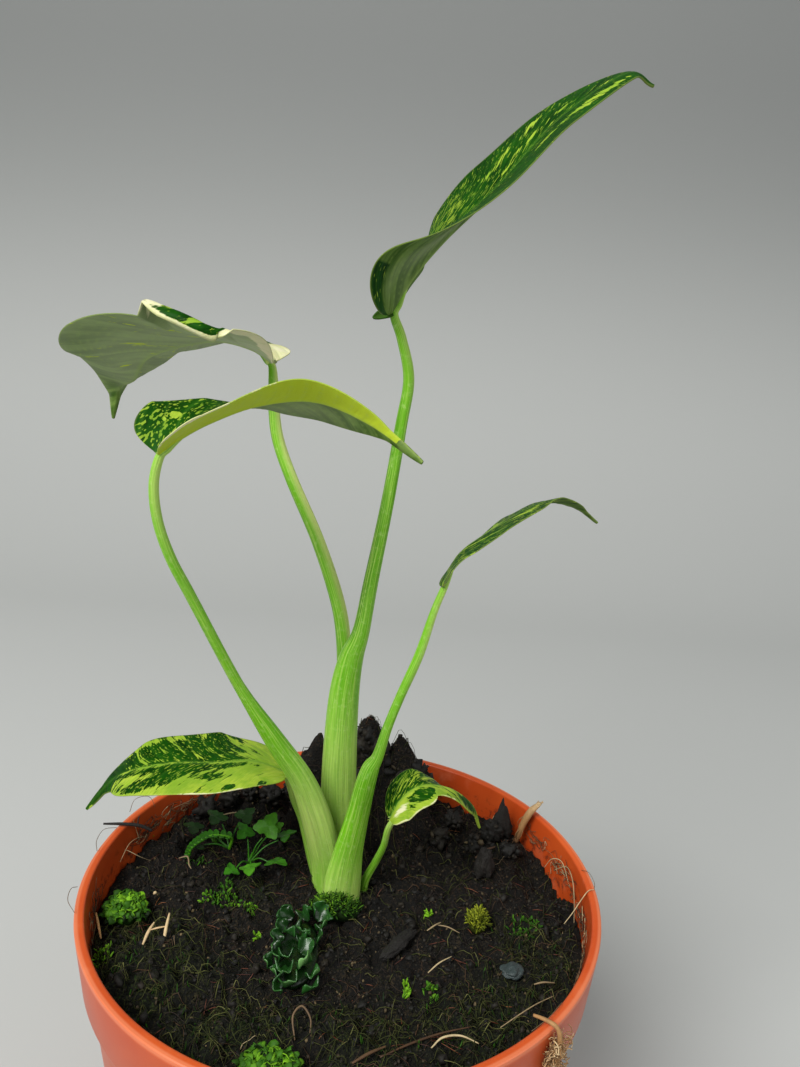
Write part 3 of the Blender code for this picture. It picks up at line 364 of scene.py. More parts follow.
# Camera and stage, in metres and degrees. The focal length is counted in the image's pixels.
IMAGE_HEIGHT = 1067
FOCAL_PIXELS = 800
SENSOR_WIDTH = 36
CAMERA_PLACE = (0.0079, -0.1685, 0.2283)
CAMERA_PITCH = 12.67
CAMERA_ROLL = 3.78
STAGE_HALF_WIDTH = 2.4
STAGE_FRONT = -1.6
WALL_FOOT = 0.5
WALL_BEND = 0.45
WALL_TOP = 2.2
BEND_STEPS = 16
SKY_COLOUR = (0.8, 0.81, 0.8, 1)
SKY_STRENGTH = 0.48
LIGHTS_AIM = (0, 0, 0.15)
# Lights: place, size, power, colour
LIGHTS = {
    "window": ((-0.55, -0.75, 1.05), 0.75, 20.0, (1, 0.99, 0.97)),
    "fill": ((0.9, -0.5, 0.7), 0.9, 2.5, (0.96, 0.98, 1)),
}


# Curves and surfaces shared by the leaves

def smooth(points, t):
    """Catmull-Rom curve through evenly counted points, at t from 0 to 1."""
    rows = np.asarray(points, float)
    flat = rows.ndim == 1
    rows = rows[:, None] if flat else rows
    last = len(rows) - 1
    padded = np.vstack([2 * rows[0] - rows[1], rows, 2 * rows[-1] - rows[-2]])
    place = np.clip(np.asarray(t, float) * last, 0, last - 1e-9)
    index = np.floor(place).astype(int)
    f = (place - index)[:, None]
    a, b, c, d = (padded[index + k] for k in range(4))
    curve = 0.5 * (2 * b + (c - a) * f + (2 * a - 5 * b + 4 * c - d) * f**2 + (3 * b - a - 3 * c + d) * f**3)
    return curve[:, 0] if flat else curve


def unit(rows):
    """The same directions with length 1."""
    rows = np.asarray(rows, float)
    return rows / np.maximum(np.linalg.norm(rows, axis=-1, keepdims=True), 1e-9)


def direction(points, t):
    """Direction of the smooth curve at t."""
    step = 1e-3
    return unit(smooth(points, np.clip(t + step, 0, 1)) - smooth(points, np.clip(t - step, 0, 1)))


def distance_along(points):
    return np.concatenate([[0], np.cumsum(np.linalg.norm(np.diff(points, axis=0), axis=1))])


def world(rows):
    """Millimetres above the rim to metres above the foot."""
    return (np.asarray(rows, float) + (0, 0, POT_HEIGHT)) * MM


def screen(red, green, blue):
    """Linear colour of a tone given as it looks on a screen, 0 to 255."""
    shares = (c / 255 for c in (red, green, blue))
    return tuple(((c + 0.055) / 1.055) ** 2.4 if c > 0.04 else c / 12.92 for c in shares)


def put_in_scene(name, data):
    made = bpy.data.objects.new(name, data)
    bpy.context.scene.collection.objects.link(made)
    return made


def make_piece(name, rows, faces, material, replaced, values=None, sharp=None):
    """A mesh piece from points in millimetres, which rides on the plant's one body."""
    mesh = bpy.data.meshes.new(name)
    mesh.from_pydata(world(rows).tolist(), [], [tuple(int(v) for v in face) for face in faces])
    for label, numbers in (values or {}).items():
        numbers = np.asarray(numbers, np.float32)
        kind, field = ("FLOAT_VECTOR", "vector") if numbers.ndim == 2 else ("FLOAT", "value")
        mesh.attributes.new(label, kind, "POINT").data.foreach_set(field, numbers.ravel())
    mesh.materials.append(material)
    mesh.shade_smooth()
    if sharp:
        mesh.set_sharp_from_angle(angle=math.radians(sharp))
    piece = put_in_scene(name, mesh)
    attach(piece, BODY)
    if replaced:
        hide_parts(*replaced)
    return piece


def grid_of(rows, count):
    """Quads of a grid of points, and the numbers of its border points in order."""
    index = np.arange(rows * count).reshape(rows, count)
    quads = np.stack([index[:-1, :-1], index[1:, :-1], index[1:, 1:], index[:-1, 1:]], -1).reshape(-1, 4)
    return quads, np.concatenate([index[0], index[1:, -1], index[-1, -2::-1], index[-2:0:-1, 0]])


def sheet_faces(rows, count, flip=False):
    """Faces of a thin closed sheet whose upper and lower points are two equal grids."""
    top, border = grid_of(rows, count)
    under = top[:, ::-1] + rows * count
    after = np.roll(border, -1)
    rim = np.stack([border, after, after + rows * count, border + rows * count], -1)
    faces = np.vstack([top, under, rim])
    return faces[:, ::-1] if flip else faces


def loft_faces(rings, count):
    """Quads between rings of points, the rings one after another, with a cap at each end."""
    low = (np.arange(rings - 1)[:, None] * count + np.arange(count)).ravel()
    after = (np.arange(rings - 1)[:, None] * count + (np.arange(count) + 1) % count).ravel()
    faces = [tuple(face) for face in np.stack([low, after, after + count, low + count], -1)]
    faces.append(tuple(reversed(range(count))))
    faces.append(tuple(range((rings - 1) * count, rings * count)))
    return faces


def full_turn(count):
    return 2 * np.pi * np.arange(count) / count


def level_ring(radius, turn, height):
    return np.stack([radius * np.cos(turn), radius * np.sin(turn), np.full(len(turn), height)], -1)


def tube(path, radii, sides, steps=None):
    """Points and faces of a closed thread along a smooth path."""
    path = np.asarray(path, float)
    if steps:
        path = smooth(path, np.linspace(0, 1, steps))
    if np.ndim(radii) == 0:
        radii = np.full(len(path), float(radii))
    else:
        radii = smooth(radii, np.linspace(0, 1, len(path)))
    heading = unit(np.gradient(path, axis=0))
    aside = unit(np.cross(heading, (0.13, 0.21, 0.97)))
    over = np.cross(heading, aside)
    turn = full_turn(sides)
    ring = np.cos(turn)[:, None, None] * aside + np.sin(turn)[:, None, None] * over
    points = path[:, None] + radii[:, None, None] * ring.transpose(1, 0, 2)
    return points.reshape(-1, 3), loft_faces(len(path), sides)


class Heap:
    """Many small closed shapes gathered into one mesh, each with its own tone."""

    def __init__(self):
        self.points = []
        self.faces = []
        self.tones = []
        self.count = 0

    def put(self, shape, tone):
        points, faces = shape
        self.points.append(points)
        self.faces.extend(tuple(int(v) + self.count for v in face) for face in faces)
        self.tones.append(np.broadcast_to(tone, len(points)))
        self.count += len(points)

    def make(self, name, material, replaced=(), sharp=None):
        values = {"tone": np.concatenate(self.tones)}
        return make_piece(name, np.vstack(self.points), self.faces, material, replaced, values, sharp)


# Shader building

def feed(tree, socket, value):
    if isinstance(value, bpy.types.NodeSocket):
        tree.links.new(value, socket)
    elif isinstance(value, tuple) and socket.type == "RGBA":
        socket.default_value = (*value[:3], 1)
    else:
        socket.default_value = value


def add(tree, kind, inputs=None, **settings):
    made = tree.nodes.new("ShaderNode" + kind)
    for key, value in settings.items():
        setattr(made, key, value)
    for name, value in (inputs or {}).items():
        feed(tree, made.inputs[name], value)
    return made


def reckon(tree, operation, *values):
    made = add(tree, "Math", dict(enumerate(values)), operation=operation)
    return made.outputs[0]


def plus_share(tree, start, value, share):
    return reckon(tree, "ADD", start, reckon(tree, "MULTIPLY", value, share))


def ramp(tree, value, low, high):
    """Rises smoothly from 0 to 1 while the value goes from low to high."""
    inputs = {"Value": value, "From Min": low, "From Max": high, "To Min": 0.0, "To Max": 1.0}
    return add(tree, "MapRange", inputs, interpolation_type="SMOOTHSTEP").outputs["Result"]


def colour_mix(tree, share, first, second):
    made = add(tree, "Mix", data_type="RGBA", blend_type="MIX")
    feed(tree, made.inputs[0], share)
    feed(tree, made.inputs[6], first)
    feed(tree, made.inputs[7], second)
    return made.outputs[2]


def new_effect(name, takes, gives):
    tree = bpy.data.node_groups.new(name, "ShaderNodeTree")
    for label, kind, start in takes:
        socket = tree.interface.new_socket(name=label, in_out="INPUT", socket_type="NodeSocket" + kind)
        if start is not None:
            socket.default_value = start
    for label, kind in gives:
        tree.interface.new_socket(name=label, in_out="OUTPUT", socket_type="NodeSocket" + kind)
    return tree, tree.nodes.new("NodeGroupInput").outputs, tree.nodes.new("NodeGroupOutput").inputs


def place_effect(tree, effect, **values):
    """Puts an effect in a material. Underscores in a name stand for spaces."""
    made = tree.nodes.new("ShaderNodeGroup")
    made.node_tree = effect
    for label, value in values.items():
        feed(tree, made.inputs[label.replace("_", " ")], value)
    return made.outputs


def object_place(tree, size):
    """Place on the object, counted in steps of a size in millimetres."""
    place = add(tree, "TexCoord").outputs["Object"]
    steps = reckon(tree, "DIVIDE", 1 / MM, size)
    return add(tree, "VectorMath", {0: place, "Scale": steps}, operation="SCALE").outputs[0]


def cloud_noise(tree, size, seed, detail, rough):
    inputs = {"Vector": object_place(tree, size), "W": seed, "Scale": 1.0, "Detail": detail,
              "Roughness": rough}
    return add(tree, "TexNoise", inputs, noise_dimensions="4D").outputs["Fac"]


def cell_noise(tree, size, seed, scale):
    inputs = {"Vector": object_place(tree, size), "W": seed, "Scale": scale}
    return add(tree, "TexVoronoi", inputs, voronoi_dimensions="4D").outputs


def drawn_out_noise(tree, parts, along, across, layer, detail, rough):
    """Noise whose steps along and across are given in the place's own measure."""
    place = add(tree, "CombineXYZ", {"X": reckon(tree, "DIVIDE", parts[0], along),
                                     "Y": reckon(tree, "DIVIDE", parts[1], across), "Z": layer}).outputs[0]
    inputs = {"Vector": place, "Scale": 1.0, "Detail": detail, "Roughness": rough}
    return add(tree, "TexNoise", inputs).outputs["Fac"]


def parts_of(tree, vector):
    return add(tree, "SeparateXYZ", {0: vector}).outputs


def make_patches_effect():
    """Soft cloudy patches of tone."""
    tree, given, out = new_effect(
        "cloudy_patches",
        (("Size", "Float", 5.0), ("Seed", "Float", 0.0), ("Low", "Float", 0.35), ("High", "Float", 0.65)),
        (("Mask", "Float"),),
    )
    cloud = cloud_noise(tree, given["Size"], given["Seed"], 5.0, 0.6)
    feed(tree, out["Mask"], ramp(tree, cloud, given["Low"], given["High"]))
    return tree


def make_specks_effect():
    """Small scattered spots, of which a share is kept."""
    tree, given, out = new_effect(
        "scattered_specks",
        (("Spacing", "Float", 2.0), ("Spot", "Float", 0.25), ("Share", "Float", 0.3), ("Seed", "Float", 0.0)),
        (("Mask", "Float"),),
    )
    cells = cell_noise(tree, given["Spacing"], given["Seed"], 1.0)
    chance = add(tree, "SeparateColor", {"Color": cells["Color"]}).outputs
    size = reckon(tree, "MULTIPLY", given["Spot"], reckon(tree, "ADD", 0.5, chance["Green"]))
    inside = ramp(tree, cells["Distance"], size, reckon(tree, "MULTIPLY", size, 0.6))
    kept = reckon(tree, "LESS_THAN", chance["Red"], given["Share"])
    feed(tree, out["Mask"], reckon(tree, "MULTIPLY", inside, kept))
    return tree


def make_grain_effect():
    """Crumbly height of peat, bark or stone."""
    tree, given, out = new_effect(
        "crumbly_grain",
        (("Size", "Float", 1.0), ("Seed", "Float", 0.0)),
        (("Height", "Float"),),
    )
    coarse = cloud_noise(tree, given["Size"], given["Seed"], 8.0, 0.7)
    pits = cell_noise(tree, given["Size"], given["Seed"], 2.2)["Distance"]
    feed(tree, out["Height"], plus_share(tree, coarse, pits, -0.35))
    return tree


def make_streaks_effect():
    """Streaks along a stem or a vein. A place holds millimetres along, millimetres across, and a layer."""
    tree, given, out = new_effect(
        "long_streaks",
        (("Place", "Vector", None), ("Length", "Float", 12.0), ("Width", "Float", 0.6), ("Low", "Float", 0.4),
         ("High", "Float", 0.6)),
        (("Mask", "Float"),),
    )
    parts = parts_of(tree, given["Place"])
    streak = drawn_out_noise(tree, parts, given["Length"], given["Width"], parts[2], 3.0, 0.55)
    feed(tree, out["Mask"], ramp(tree, streak, given["Low"], given["High"]))
    return tree


def make_tissue_effect():
    """Tissue of a leaf: yellow flecks and blotches drawn out along the side veins, and cream."""
    tree, given, out = new_effect(
        "leaf_tissue",
        (("Vein place", "Vector", None), ("Yellow", "Float", 0.0), ("Cream", "Float", -1.0),
         ("Flecks", "Float", 0.0)),
        (("Yellow", "Float"), ("Cream", "Float"), ("Fleck", "Float"), ("Blotch", "Float")),
    )
    parts = parts_of(tree, given["Vein place"])

    def drawn_out(step, length, seed, detail, rough):
        return drawn_out_noise(tree, parts, step, length, reckon(tree, "ADD", parts[2], seed), detail, rough)

    blotch = drawn_out(1.9, 7.5, 0.0, 2.0, 0.5)
    fleck = drawn_out(0.5, 1.8, 40.0, 2.0, 0.6)
    dots = drawn_out(0.55, 0.9, 60.0, 1.0, 0.5)
    wide = drawn_out(4.0, 9.0, 80.0, 2.0, 0.5)
    both = plus_share(tree, reckon(tree, "MULTIPLY", blotch, 0.64), fleck, 0.36)
    streaks = ramp(tree, reckon(tree, "ADD", both, given["Yellow"]), 0.57, 0.605)
    small = ramp(tree, reckon(tree, "ADD", dots, given["Flecks"]), 0.6, 0.65)
    feed(tree, out["Yellow"], reckon(tree, "MAXIMUM", streaks, reckon(tree, "MULTIPLY", small, 0.7)))
    feed(tree, out["Blotch"], streaks)
    pale = plus_share(tree, reckon(tree, "MULTIPLY", wide, 0.7), fleck, 0.3)
    feed(tree, out["Cream"], ramp(tree, reckon(tree, "ADD", pale, given["Cream"]), 0.52, 0.66))
    feed(tree, out["Fleck"], fleck)
    return tree


PATCHES = make_patches_effect()
SPECKS = make_specks_effect()
GRAIN = make_grain_effect()
STREAKS = make_streaks_effect()
TISSUE = make_tissue_effect()


def new_finish(name, seen, roughness, specular):
    material = bpy.data.materials.new(name)
    material.use_nodes = True
    shader = material.node_tree.nodes["Principled BSDF"]
    shader.inputs["Base Color"].default_value = (*seen, 1)
    shader.inputs["Roughness"].default_value = roughness
    shader.inputs["Specular IOR Level"].default_value = specular
    material.diffuse_color = (*seen, 1)
    return material, material.node_tree, shader.inputs


def attribute(tree, name, output="Fac"):
    return add(tree, "Attribute", attribute_name=name).outputs[output]


def raise_surface(tree, height, strength, depth):
    """A bump of a depth in millimetres."""
    inputs = {"Height": height, "Strength": strength, "Distance": depth * MM}
    return add(tree, "Bump", inputs).outputs["Normal"]


def patch_mask(tree, size, seed, low, high):
    return place_effect(tree, PATCHES, Size=size, Seed=seed, Low=low, High=high)["Mask"]


def speck_mask(tree, spacing, spot, share, seed):
    return place_effect(tree, SPECKS, Spacing=spacing, Spot=spot, Share=share, Seed=seed)["Mask"]


def streak_mask(tree, place, length, width, low, high):
    return place_effect(tree, STREAKS, Place=place, Length=length, Width=width, Low=low, High=high)["Mask"]


def grain_height(tree, size, seed):
    return place_effect(tree, GRAIN, Size=size, Seed=seed)["Height"]


def tint(tree, colour, mask, share, seen):
    """A colour with another tone laid over it by a mask, up to a share of it."""
    return colour_mix(tree, reckon(tree, "MULTIPLY", mask, share), colour, screen(*seen))


def tone_colour(tree, tone, dark, middle, light):
    """Dark at tone 0, middle at 0.5 and light at 1, as seen on a screen."""
    colour = colour_mix(tree, ramp(tree, tone, 0.0, 0.5), screen(*dark), screen(*middle))
    return colour_mix(tree, ramp(tree, tone, 0.5, 1.0), colour, screen(*light))


def two_tones(tree, mask, first, second):
    """Mixes two tones as seen on a screen."""
    return colour_mix(tree, mask, screen(*first), screen(*second))


def dress(tree, shader, colour, rough, normal):
    feed(tree, shader["Base Color"], colour)
    feed(tree, shader["Roughness"], rough)
    feed(tree, shader["Normal"], normal)


def let_light_in(shader, weight, radius, scale):
    shader["Subsurface Weight"].default_value = weight
    shader["Subsurface Radius"].default_value = radius
    shader["Subsurface Scale"].default_value = scale


def make_pot_plastic():
    """Terracotta-coloured plastic: painted shade on the inner wall, soiled inside above the peat, painted
    shade on the outside, and a painted highlight along the rim's edge.
    """
    material, tree, shader = new_finish("terracotta_plastic", screen(208, 90, 40), 0.4, 0.35)
    cloud = patch_mask(tree, 22.0, 1.0, 0.3, 0.7)
    colour = two_tones(tree, cloud, (194, 74, 26), (210, 92, 38))
    place = parts_of(tree, add(tree, "TexCoord").outputs["Object"])
    height = place[2]
    flat = add(tree, "CombineXYZ", {"X": place[0], "Y": place[1], "Z": 0.0}).outputs[0]
    reach = add(tree, "VectorMath", {0: flat}, operation="LENGTH").outputs["Value"]
    inner_wall = reckon(tree, "MULTIPLY", ramp(tree, reach, *INNER_WALL_REACH),
                        ramp(tree, height, *INNER_WALL_HEIGHT))
    # Painted shade: the inner wall is darkened to a deeper red, as it lies in shade.
    colour = tint(tree, colour, inner_wall, 0.4, (150, 44, 8))
    splash_zone = reckon(tree, "MULTIPLY", ramp(tree, height, *SOILED_HEIGHT), inner_wall)
    splash = patch_mask(tree, 2.6, 4.0, 0.5, 0.64)
    soiled = reckon(tree, "MULTIPLY", splash_zone, reckon(tree, "MULTIPLY", splash, 0.75))
    colour = colour_mix(tree, soiled, colour, screen(60, 24, 12))
    # Painted shade: the outside below the rim is darkened.
    outside = reckon(tree, "MULTIPLY", reckon(tree, "SUBTRACT", 1.0, inner_wall),
                     ramp(tree, height, *OUTSIDE_HEIGHT))
    colour = tint(tree, colour, outside, 0.4, (150, 62, 34))
    # Painted highlight: a pale line along the rim's outer edge.
    rim_highlight = reckon(tree, "MULTIPLY", ramp(tree, reach, *RIM_EDGE_REACH),
                      ramp(tree, height, *RIM_EDGE_HEIGHT))
    colour = tint(tree, colour, rim_highlight, 0.5, (226, 138, 98))
    dust = speck_mask(tree, 2.4, 0.14, 0.16, 2.0)
    colour = tint(tree, colour, dust, 0.4, (232, 170, 130))
    grit = speck_mask(tree, 4.0, 0.1, 0.1, 9.0)
    colour = tint(tree, colour, grit, 0.8, (84, 44, 30))
    scuffs = patch_mask(tree, 9.0, 13.0, 0.55, 0.75)
    colour = tint(tree, colour, scuffs, 0.14, (236, 160, 124))
    rough = plus_share(tree, 0.36, scuffs, 0.14)
    rough = plus_share(tree, rough, soiled, 0.4)
    dress(tree, shader, colour, rough, raise_surface(tree, grain_height(tree, 0.5, 3.0), 0.25, 0.05))
    return material


def make_peat():
    """Dark peat with rusty and wet places, green where its tone is high, and painted shade in the hollows of
    its grain.
    """
    material, tree, shader = new_finish("peat", screen(34, 28, 20), 0.85, 0.3)
    grain = grain_height(tree, 1.0, 2.0)
    lumpy = patch_mask(tree, 5.0, 5.0, 0.35, 0.65)
    rusty = patch_mask(tree, 14.0, 11.0, 0.45, 0.65)
    colour = two_tones(tree, lumpy, (14, 11, 6), (58, 48, 31))
    colour = tint(tree, colour, rusty, 0.4, (58, 32, 18))
    # Painted shade: where the grain is low, in its hollows, the peat and its green are darkened to near
    # black.
    fine = ramp(tree, grain, 0.25, 0.5)
    colour = colour_mix(tree, fine, screen(4, 3, 1), colour)
    flecks = speck_mask(tree, 0.9, 0.26, 0.2, 7.0)
    colour = tint(tree, colour, flecks, 0.5, (104, 84, 58))
    green = two_tones(tree, fine, (8, 13, 3), (50, 62, 22))
    colour = colour_mix(tree, attribute(tree, "tone"), colour, green)
    wet = speck_mask(tree, 0.7, 0.34, 0.3, 19.0)
    rough = plus_share(tree, 0.92, lumpy, -0.2)
    rough = plus_share(tree, rough, wet, -0.5)
    dress(tree, shader, colour, rough, raise_surface(tree, grain, 1.0, 1.1))
    return material


# Finishes whose colour runs with each small shape's own tone: dark, middle and light as seen on a screen,
# roughness, size of the clouding in millimetres, specular level, strength of the grain
TONED_FINISHES = {
    "peat_crumbs": ((8, 7, 4), (36, 30, 19), (108, 92, 62), 0.75, 1.2, 0.4, 0.3),
    "fine_roots": ((26, 15, 8), (86, 58, 32), (204, 184, 140), 0.7, 2.0, 0.5, 0.3),
    "needle_brown": ((48, 20, 12), (100, 46, 24), (158, 98, 52), 0.6, 1.5, 0.5, 0.3),
    "moss_green": ((12, 30, 2), (54, 104, 8), (122, 178, 28), 0.7, 2.0, 0.25, 0.3),
    "liverwort_green": ((6, 26, 4), (38, 88, 32), (118, 168, 96), 0.32, 3.0, 0.5, 0.3),
    "olive_threads": ((14, 16, 5), (60, 66, 28), (124, 124, 72), 0.8, 2.0, 0.2, 0.3),
    "dark_moss": ((8, 20, 2), (40, 78, 8), (104, 152, 30), 0.75, 2.0, 0.2, 0.3),
    "gold_moss": ((34, 44, 6), (98, 108, 16), (168, 176, 44), 0.75, 1.2, 0.2, 0.3),
    "weed_green": ((18, 46, 8), (52, 120, 14), (106, 184, 32), 0.5, 2.0, 0.3, 0.3),
    "bark_brown": ((12, 10, 7), (44, 38, 30), (110, 98, 80), 0.8, 1.6, 0.5, 1.0),
    "dry_fibre": ((96, 64, 36), (168, 126, 78), (222, 196, 150), 0.75, 1.2, 0.5, 0.3),
    "slate_grey": ((26, 32, 32), (54, 66, 66), (112, 124, 122), 0.45, 1.2, 0.5, 0.8),
}


def make_toned(name, dark, middle, light, roughness, size, specular, bump):
    """A finish from dark to light by the tone attribute, with clouding and a fine grain."""
    material, tree, shader = new_finish(name, screen(*middle), roughness, specular)
    colour = tone_colour(tree, attribute(tree, "tone"), dark, middle, light)
    colour = tint(tree, colour, patch_mask(tree, size, 3.0, 0.35, 0.7), 0.4, dark)
    grain = grain_height(tree, size * 0.6, 1.0)
    rough = plus_share(tree, roughness - 0.1, grain, 0.25)
    dress(tree, shader, colour, rough, raise_surface(tree, grain, bump, 0.3))
    return material


def make_stem_skin():
    """Ribbed petiole skin, dark green to pale yellow-green by its tone."""
    material, tree, shader = new_finish("petiole_skin", screen(118, 176, 48), 0.38, 0.2)
    place = attribute(tree, "stem_place", "Vector")
    fine = streak_mask(tree, place, 16.0, 0.34, 0.44, 0.64)
    lines = streak_mask(tree, place, 22.0, 0.2, 0.5, 0.7)
    wide = streak_mask(tree, place, 30.0, 1.3, 0.36, 0.64)
    mottle = patch_mask(tree, 1.1, 6.0, 0.5, 0.72)
    colour = tone_colour(tree, attribute(tree, "tone"), (40, 96, 8), (112, 182, 28), (214, 228, 134))
    colour = tint(tree, colour, wide, 0.3, (78, 146, 12))
    colour = tint(tree, colour, lines, 0.3, (62, 124, 12))
    colour = tint(tree, colour, fine, 0.45, (190, 226, 108))
    colour = tint(tree, colour, mottle, 0.3, (194, 218, 140))
    specks = speck_mask(tree, 1.6, 0.13, 0.12, 3.0)
    colour = tint(tree, colour, specks, 0.5, (66, 76, 30))
    rough = plus_share(tree, 0.3, fine, 0.14)
    ridges = plus_share(tree, fine, wide, 0.8)
    dress(tree, shader, colour, rough, raise_surface(tree, ridges, 0.45, 0.14))
    let_light_in(shader, 0.12, (0.4, 1.0, 0.15), 0.0012)
    return material


def make_leaf_skin():
    """Variegated leaf: green, yellow and cream tissue above, its paler, greyer underside partly with a
    painted sheen, and a painted highlight along the margin.
    """
    material, tree, shader = new_finish("leaf_skin", screen(40, 92, 18), 0.45, 0.05)
    vein_place = attribute(tree, "vein_place", "Vector")
    level = parts_of(tree, attribute(tree, "leaf_level", "Vector"))
    below = attribute(tree, "underside")
    line = parts_of(tree, attribute(tree, "leaf_line", "Vector"))
    tissue = place_effect(tree, TISSUE, Vein_place=vein_place, Yellow=level[0], Cream=level[1],
                          Flecks=level[2])
    soft = streak_mask(tree, vein_place, 1.6, 9.0, 0.35, 0.65)
    broad = streak_mask(tree, vein_place, 3.2, 12.0, 0.38, 0.62)
    cloud = patch_mask(tree, 6.0, 8.0, 0.35, 0.65)
    lime = patch_mask(tree, 8.0, 17.0, 0.4, 0.6)
    green = two_tones(tree, soft, (6, 44, 1), (14, 62, 3))
    green = tint(tree, green, cloud, 0.35, (32, 94, 6))
    yellow = two_tones(tree, tissue["Fleck"], (116, 154, 28), (184, 202, 72))
    yellow = tint(tree, yellow, lime, 0.55, (98, 146, 34))
    cream = two_tones(tree, cloud, (208, 208, 150), (224, 222, 182))
    upper = colour_mix(tree, tissue["Yellow"], green, yellow)
    upper = colour_mix(tree, tissue["Cream"], upper, cream)
    upper = tint(tree, upper, line[0], 0.6, (92, 140, 48))
    grey = two_tones(tree, broad, (52, 84, 22), (106, 134, 62))
    grey = tint(tree, grey, soft, 0.3, (72, 104, 36))
    grey = tint(tree, grey, cloud, 0.35, (60, 88, 26))
    # The bloom pales the underside: partly its own paler colour, partly a painted sheen.
    grey = colour_mix(tree, line[2], grey, screen(186, 196, 160))
    lower = tint(tree, grey, tissue["Blotch"], 0.9, (182, 202, 44))
    lower = tint(tree, lower, tissue["Cream"], 0.9, (230, 222, 186))
    lower = tint(tree, lower, line[0], 0.7, (156, 182, 96))
    colour = colour_mix(tree, below, upper, lower)
    # Painted highlight along the blade's margin.
    colour = tint(tree, colour, line[1], 0.35, (150, 166, 84))
    rough = plus_share(tree, 0.42, below, 0.18)
    rough = plus_share(tree, rough, cloud, 0.08)
    relief = plus_share(tree, soft, tissue["Fleck"], 0.6)
    dress(tree, shader, colour, rough, raise_surface(tree, relief, 0.35, 0.14))
    let_light_in(shader, 0.04, (0.4, 1.0, 0.1), 0.001)
    return material


# Pot

def inner_radius(z):
    """Radius of the pot's inner wall at a height from the rim."""
    collar = RIM_RADIUS - RIM_TOP + min(0, z) * math.tan(math.radians(COLLAR_TAPER))
    body = outer_radius_below(z) - WALL
    return collar if z > -COLLAR_HEIGHT else min(collar, body)


def outer_radius_below(z):
    """Radius of the pot's outer wall below the collar."""
    return COLLAR_FOOT - SHOULDER + (z + COLLAR_HEIGHT) * math.tan(math.radians(BODY_TAPER))


def rounded(profile, radius):
    """The same profile with each corner replaced by a small arc."""
    made = [profile[0]]
    for before, corner, after in zip(profile, profile[1:], profile[2:]):
        before, corner, after = (np.array(p, float) for p in (before, corner, after))
        start = corner + unit(before - corner) * min(radius, np.linalg.norm(before - corner) * 0.45)
        end = corner + unit(after - corner) * min(radius, np.linalg.norm(after - corner) * 0.45)
        for t in np.linspace(0, 1, CORNER_STEPS):
            made.append(tuple((1 - t) ** 2 * start + 2 * t * (1 - t) * corner + t**2 * end))
    return made + [profile[-1]]


def make_pot(material):
    floor = -POT_HEIGHT + FLOOR
    foot = outer_radius_below(-POT_HEIGHT)
    rim_inside = RIM_RADIUS - RIM_TOP
    profile = rounded((
        (FLOOR_MIDDLE, floor),
        (inner_radius(floor), floor),
        (inner_radius(-COLLAR_HEIGHT - 0.1), -COLLAR_HEIGHT - 0.1),
        (inner_radius(-COLLAR_HEIGHT + 2), -COLLAR_HEIGHT + 2),
        (rim_inside, 0),
        (RIM_RADIUS, 0),
        (COLLAR_FOOT, -COLLAR_HEIGHT),
        (COLLAR_FOOT - SHOULDER, -COLLAR_HEIGHT),
        (foot, -POT_HEIGHT),
        (FLOOR_MIDDLE, -POT_HEIGHT),
    ), RIM_CORNER)
    rings = [level_ring(radius, full_turn(POT_SEGMENTS), z) for radius, z in profile]
    faces = loft_faces(len(profile), POT_SEGMENTS)
    pot = make_piece("pot_shell", np.vstack(rings), faces, material, ("pot",))
    cutter_mesh = bmesh.new()
    for k in range(DRAIN_HOLES):
        angle = 2 * math.pi * (k + 0.5) / DRAIN_HOLES
        x, y = DRAIN_CIRCLE * math.cos(angle), DRAIN_CIRCLE * math.sin(angle)
        place = Matrix.Translation(world((x, y, -POT_HEIGHT + FLOOR / 2)))
        bmesh.ops.create_cone(cutter_mesh, cap_ends=True, segments=DRAIN_SEGMENTS, radius1=DRAIN_RADIUS * MM,
                              radius2=DRAIN_RADIUS * MM, depth=3 * FLOOR * MM, matrix=place)
    mesh = bpy.data.meshes.new("drain_cutters")
    cutter_mesh.to_mesh(mesh)
    cutter_mesh.free()
    cutters = put_in_scene("drain_cutters", mesh)
    drill = pot.modifiers.new("drain", "BOOLEAN")
    drill.operation = "DIFFERENCE"
    drill.object = cutters
    graph = bpy.context.evaluated_depsgraph_get()
    drilled = bpy.data.meshes.new_from_object(pot.evaluated_get(graph))
    pot.modifiers.clear()
    pot.data = drilled
    drilled.shade_smooth()
    drilled.set_sharp_from_angle(angle=math.radians(SHARP_ANGLE))
    bpy.data.objects.remove(cutters, do_unlink=True)


# Soil

def ground_place(x, y, step, layer):
    """Place in a noise whose steps are given in millimetres."""
    return Vector((x / step, y / step, layer))


def soil_height(x, y):
    """Height of the soil from the rim: a rough level, lumps, and level pads for what stands on it."""
    z = SOIL_LEVEL + SOIL_GRAIN * noise.noise(ground_place(x, y, 7, 3.1)) * 1.5
    z += SOIL_GRAIN * noise.noise(ground_place(x, y, 3.2, 8.7))
    for at_x, at_y, wide, deep, rise in SOIL_LUMPS:
        distance = ((x - at_x) / wide) ** 2 + ((y - at_y) / deep) ** 2
        z += rise * math.exp(-(distance**LUMP_SQUARENESS))
    for at_x, at_y, radius, level in SOIL_PADS.values():
        outside = max(0.0, math.hypot(x - at_x, y - at_y) / radius - 1)
        weight = 1 / (1 + (outside / PAD_BLEND) ** 3)
        z = weight * level + (1 - weight) * z
    return z


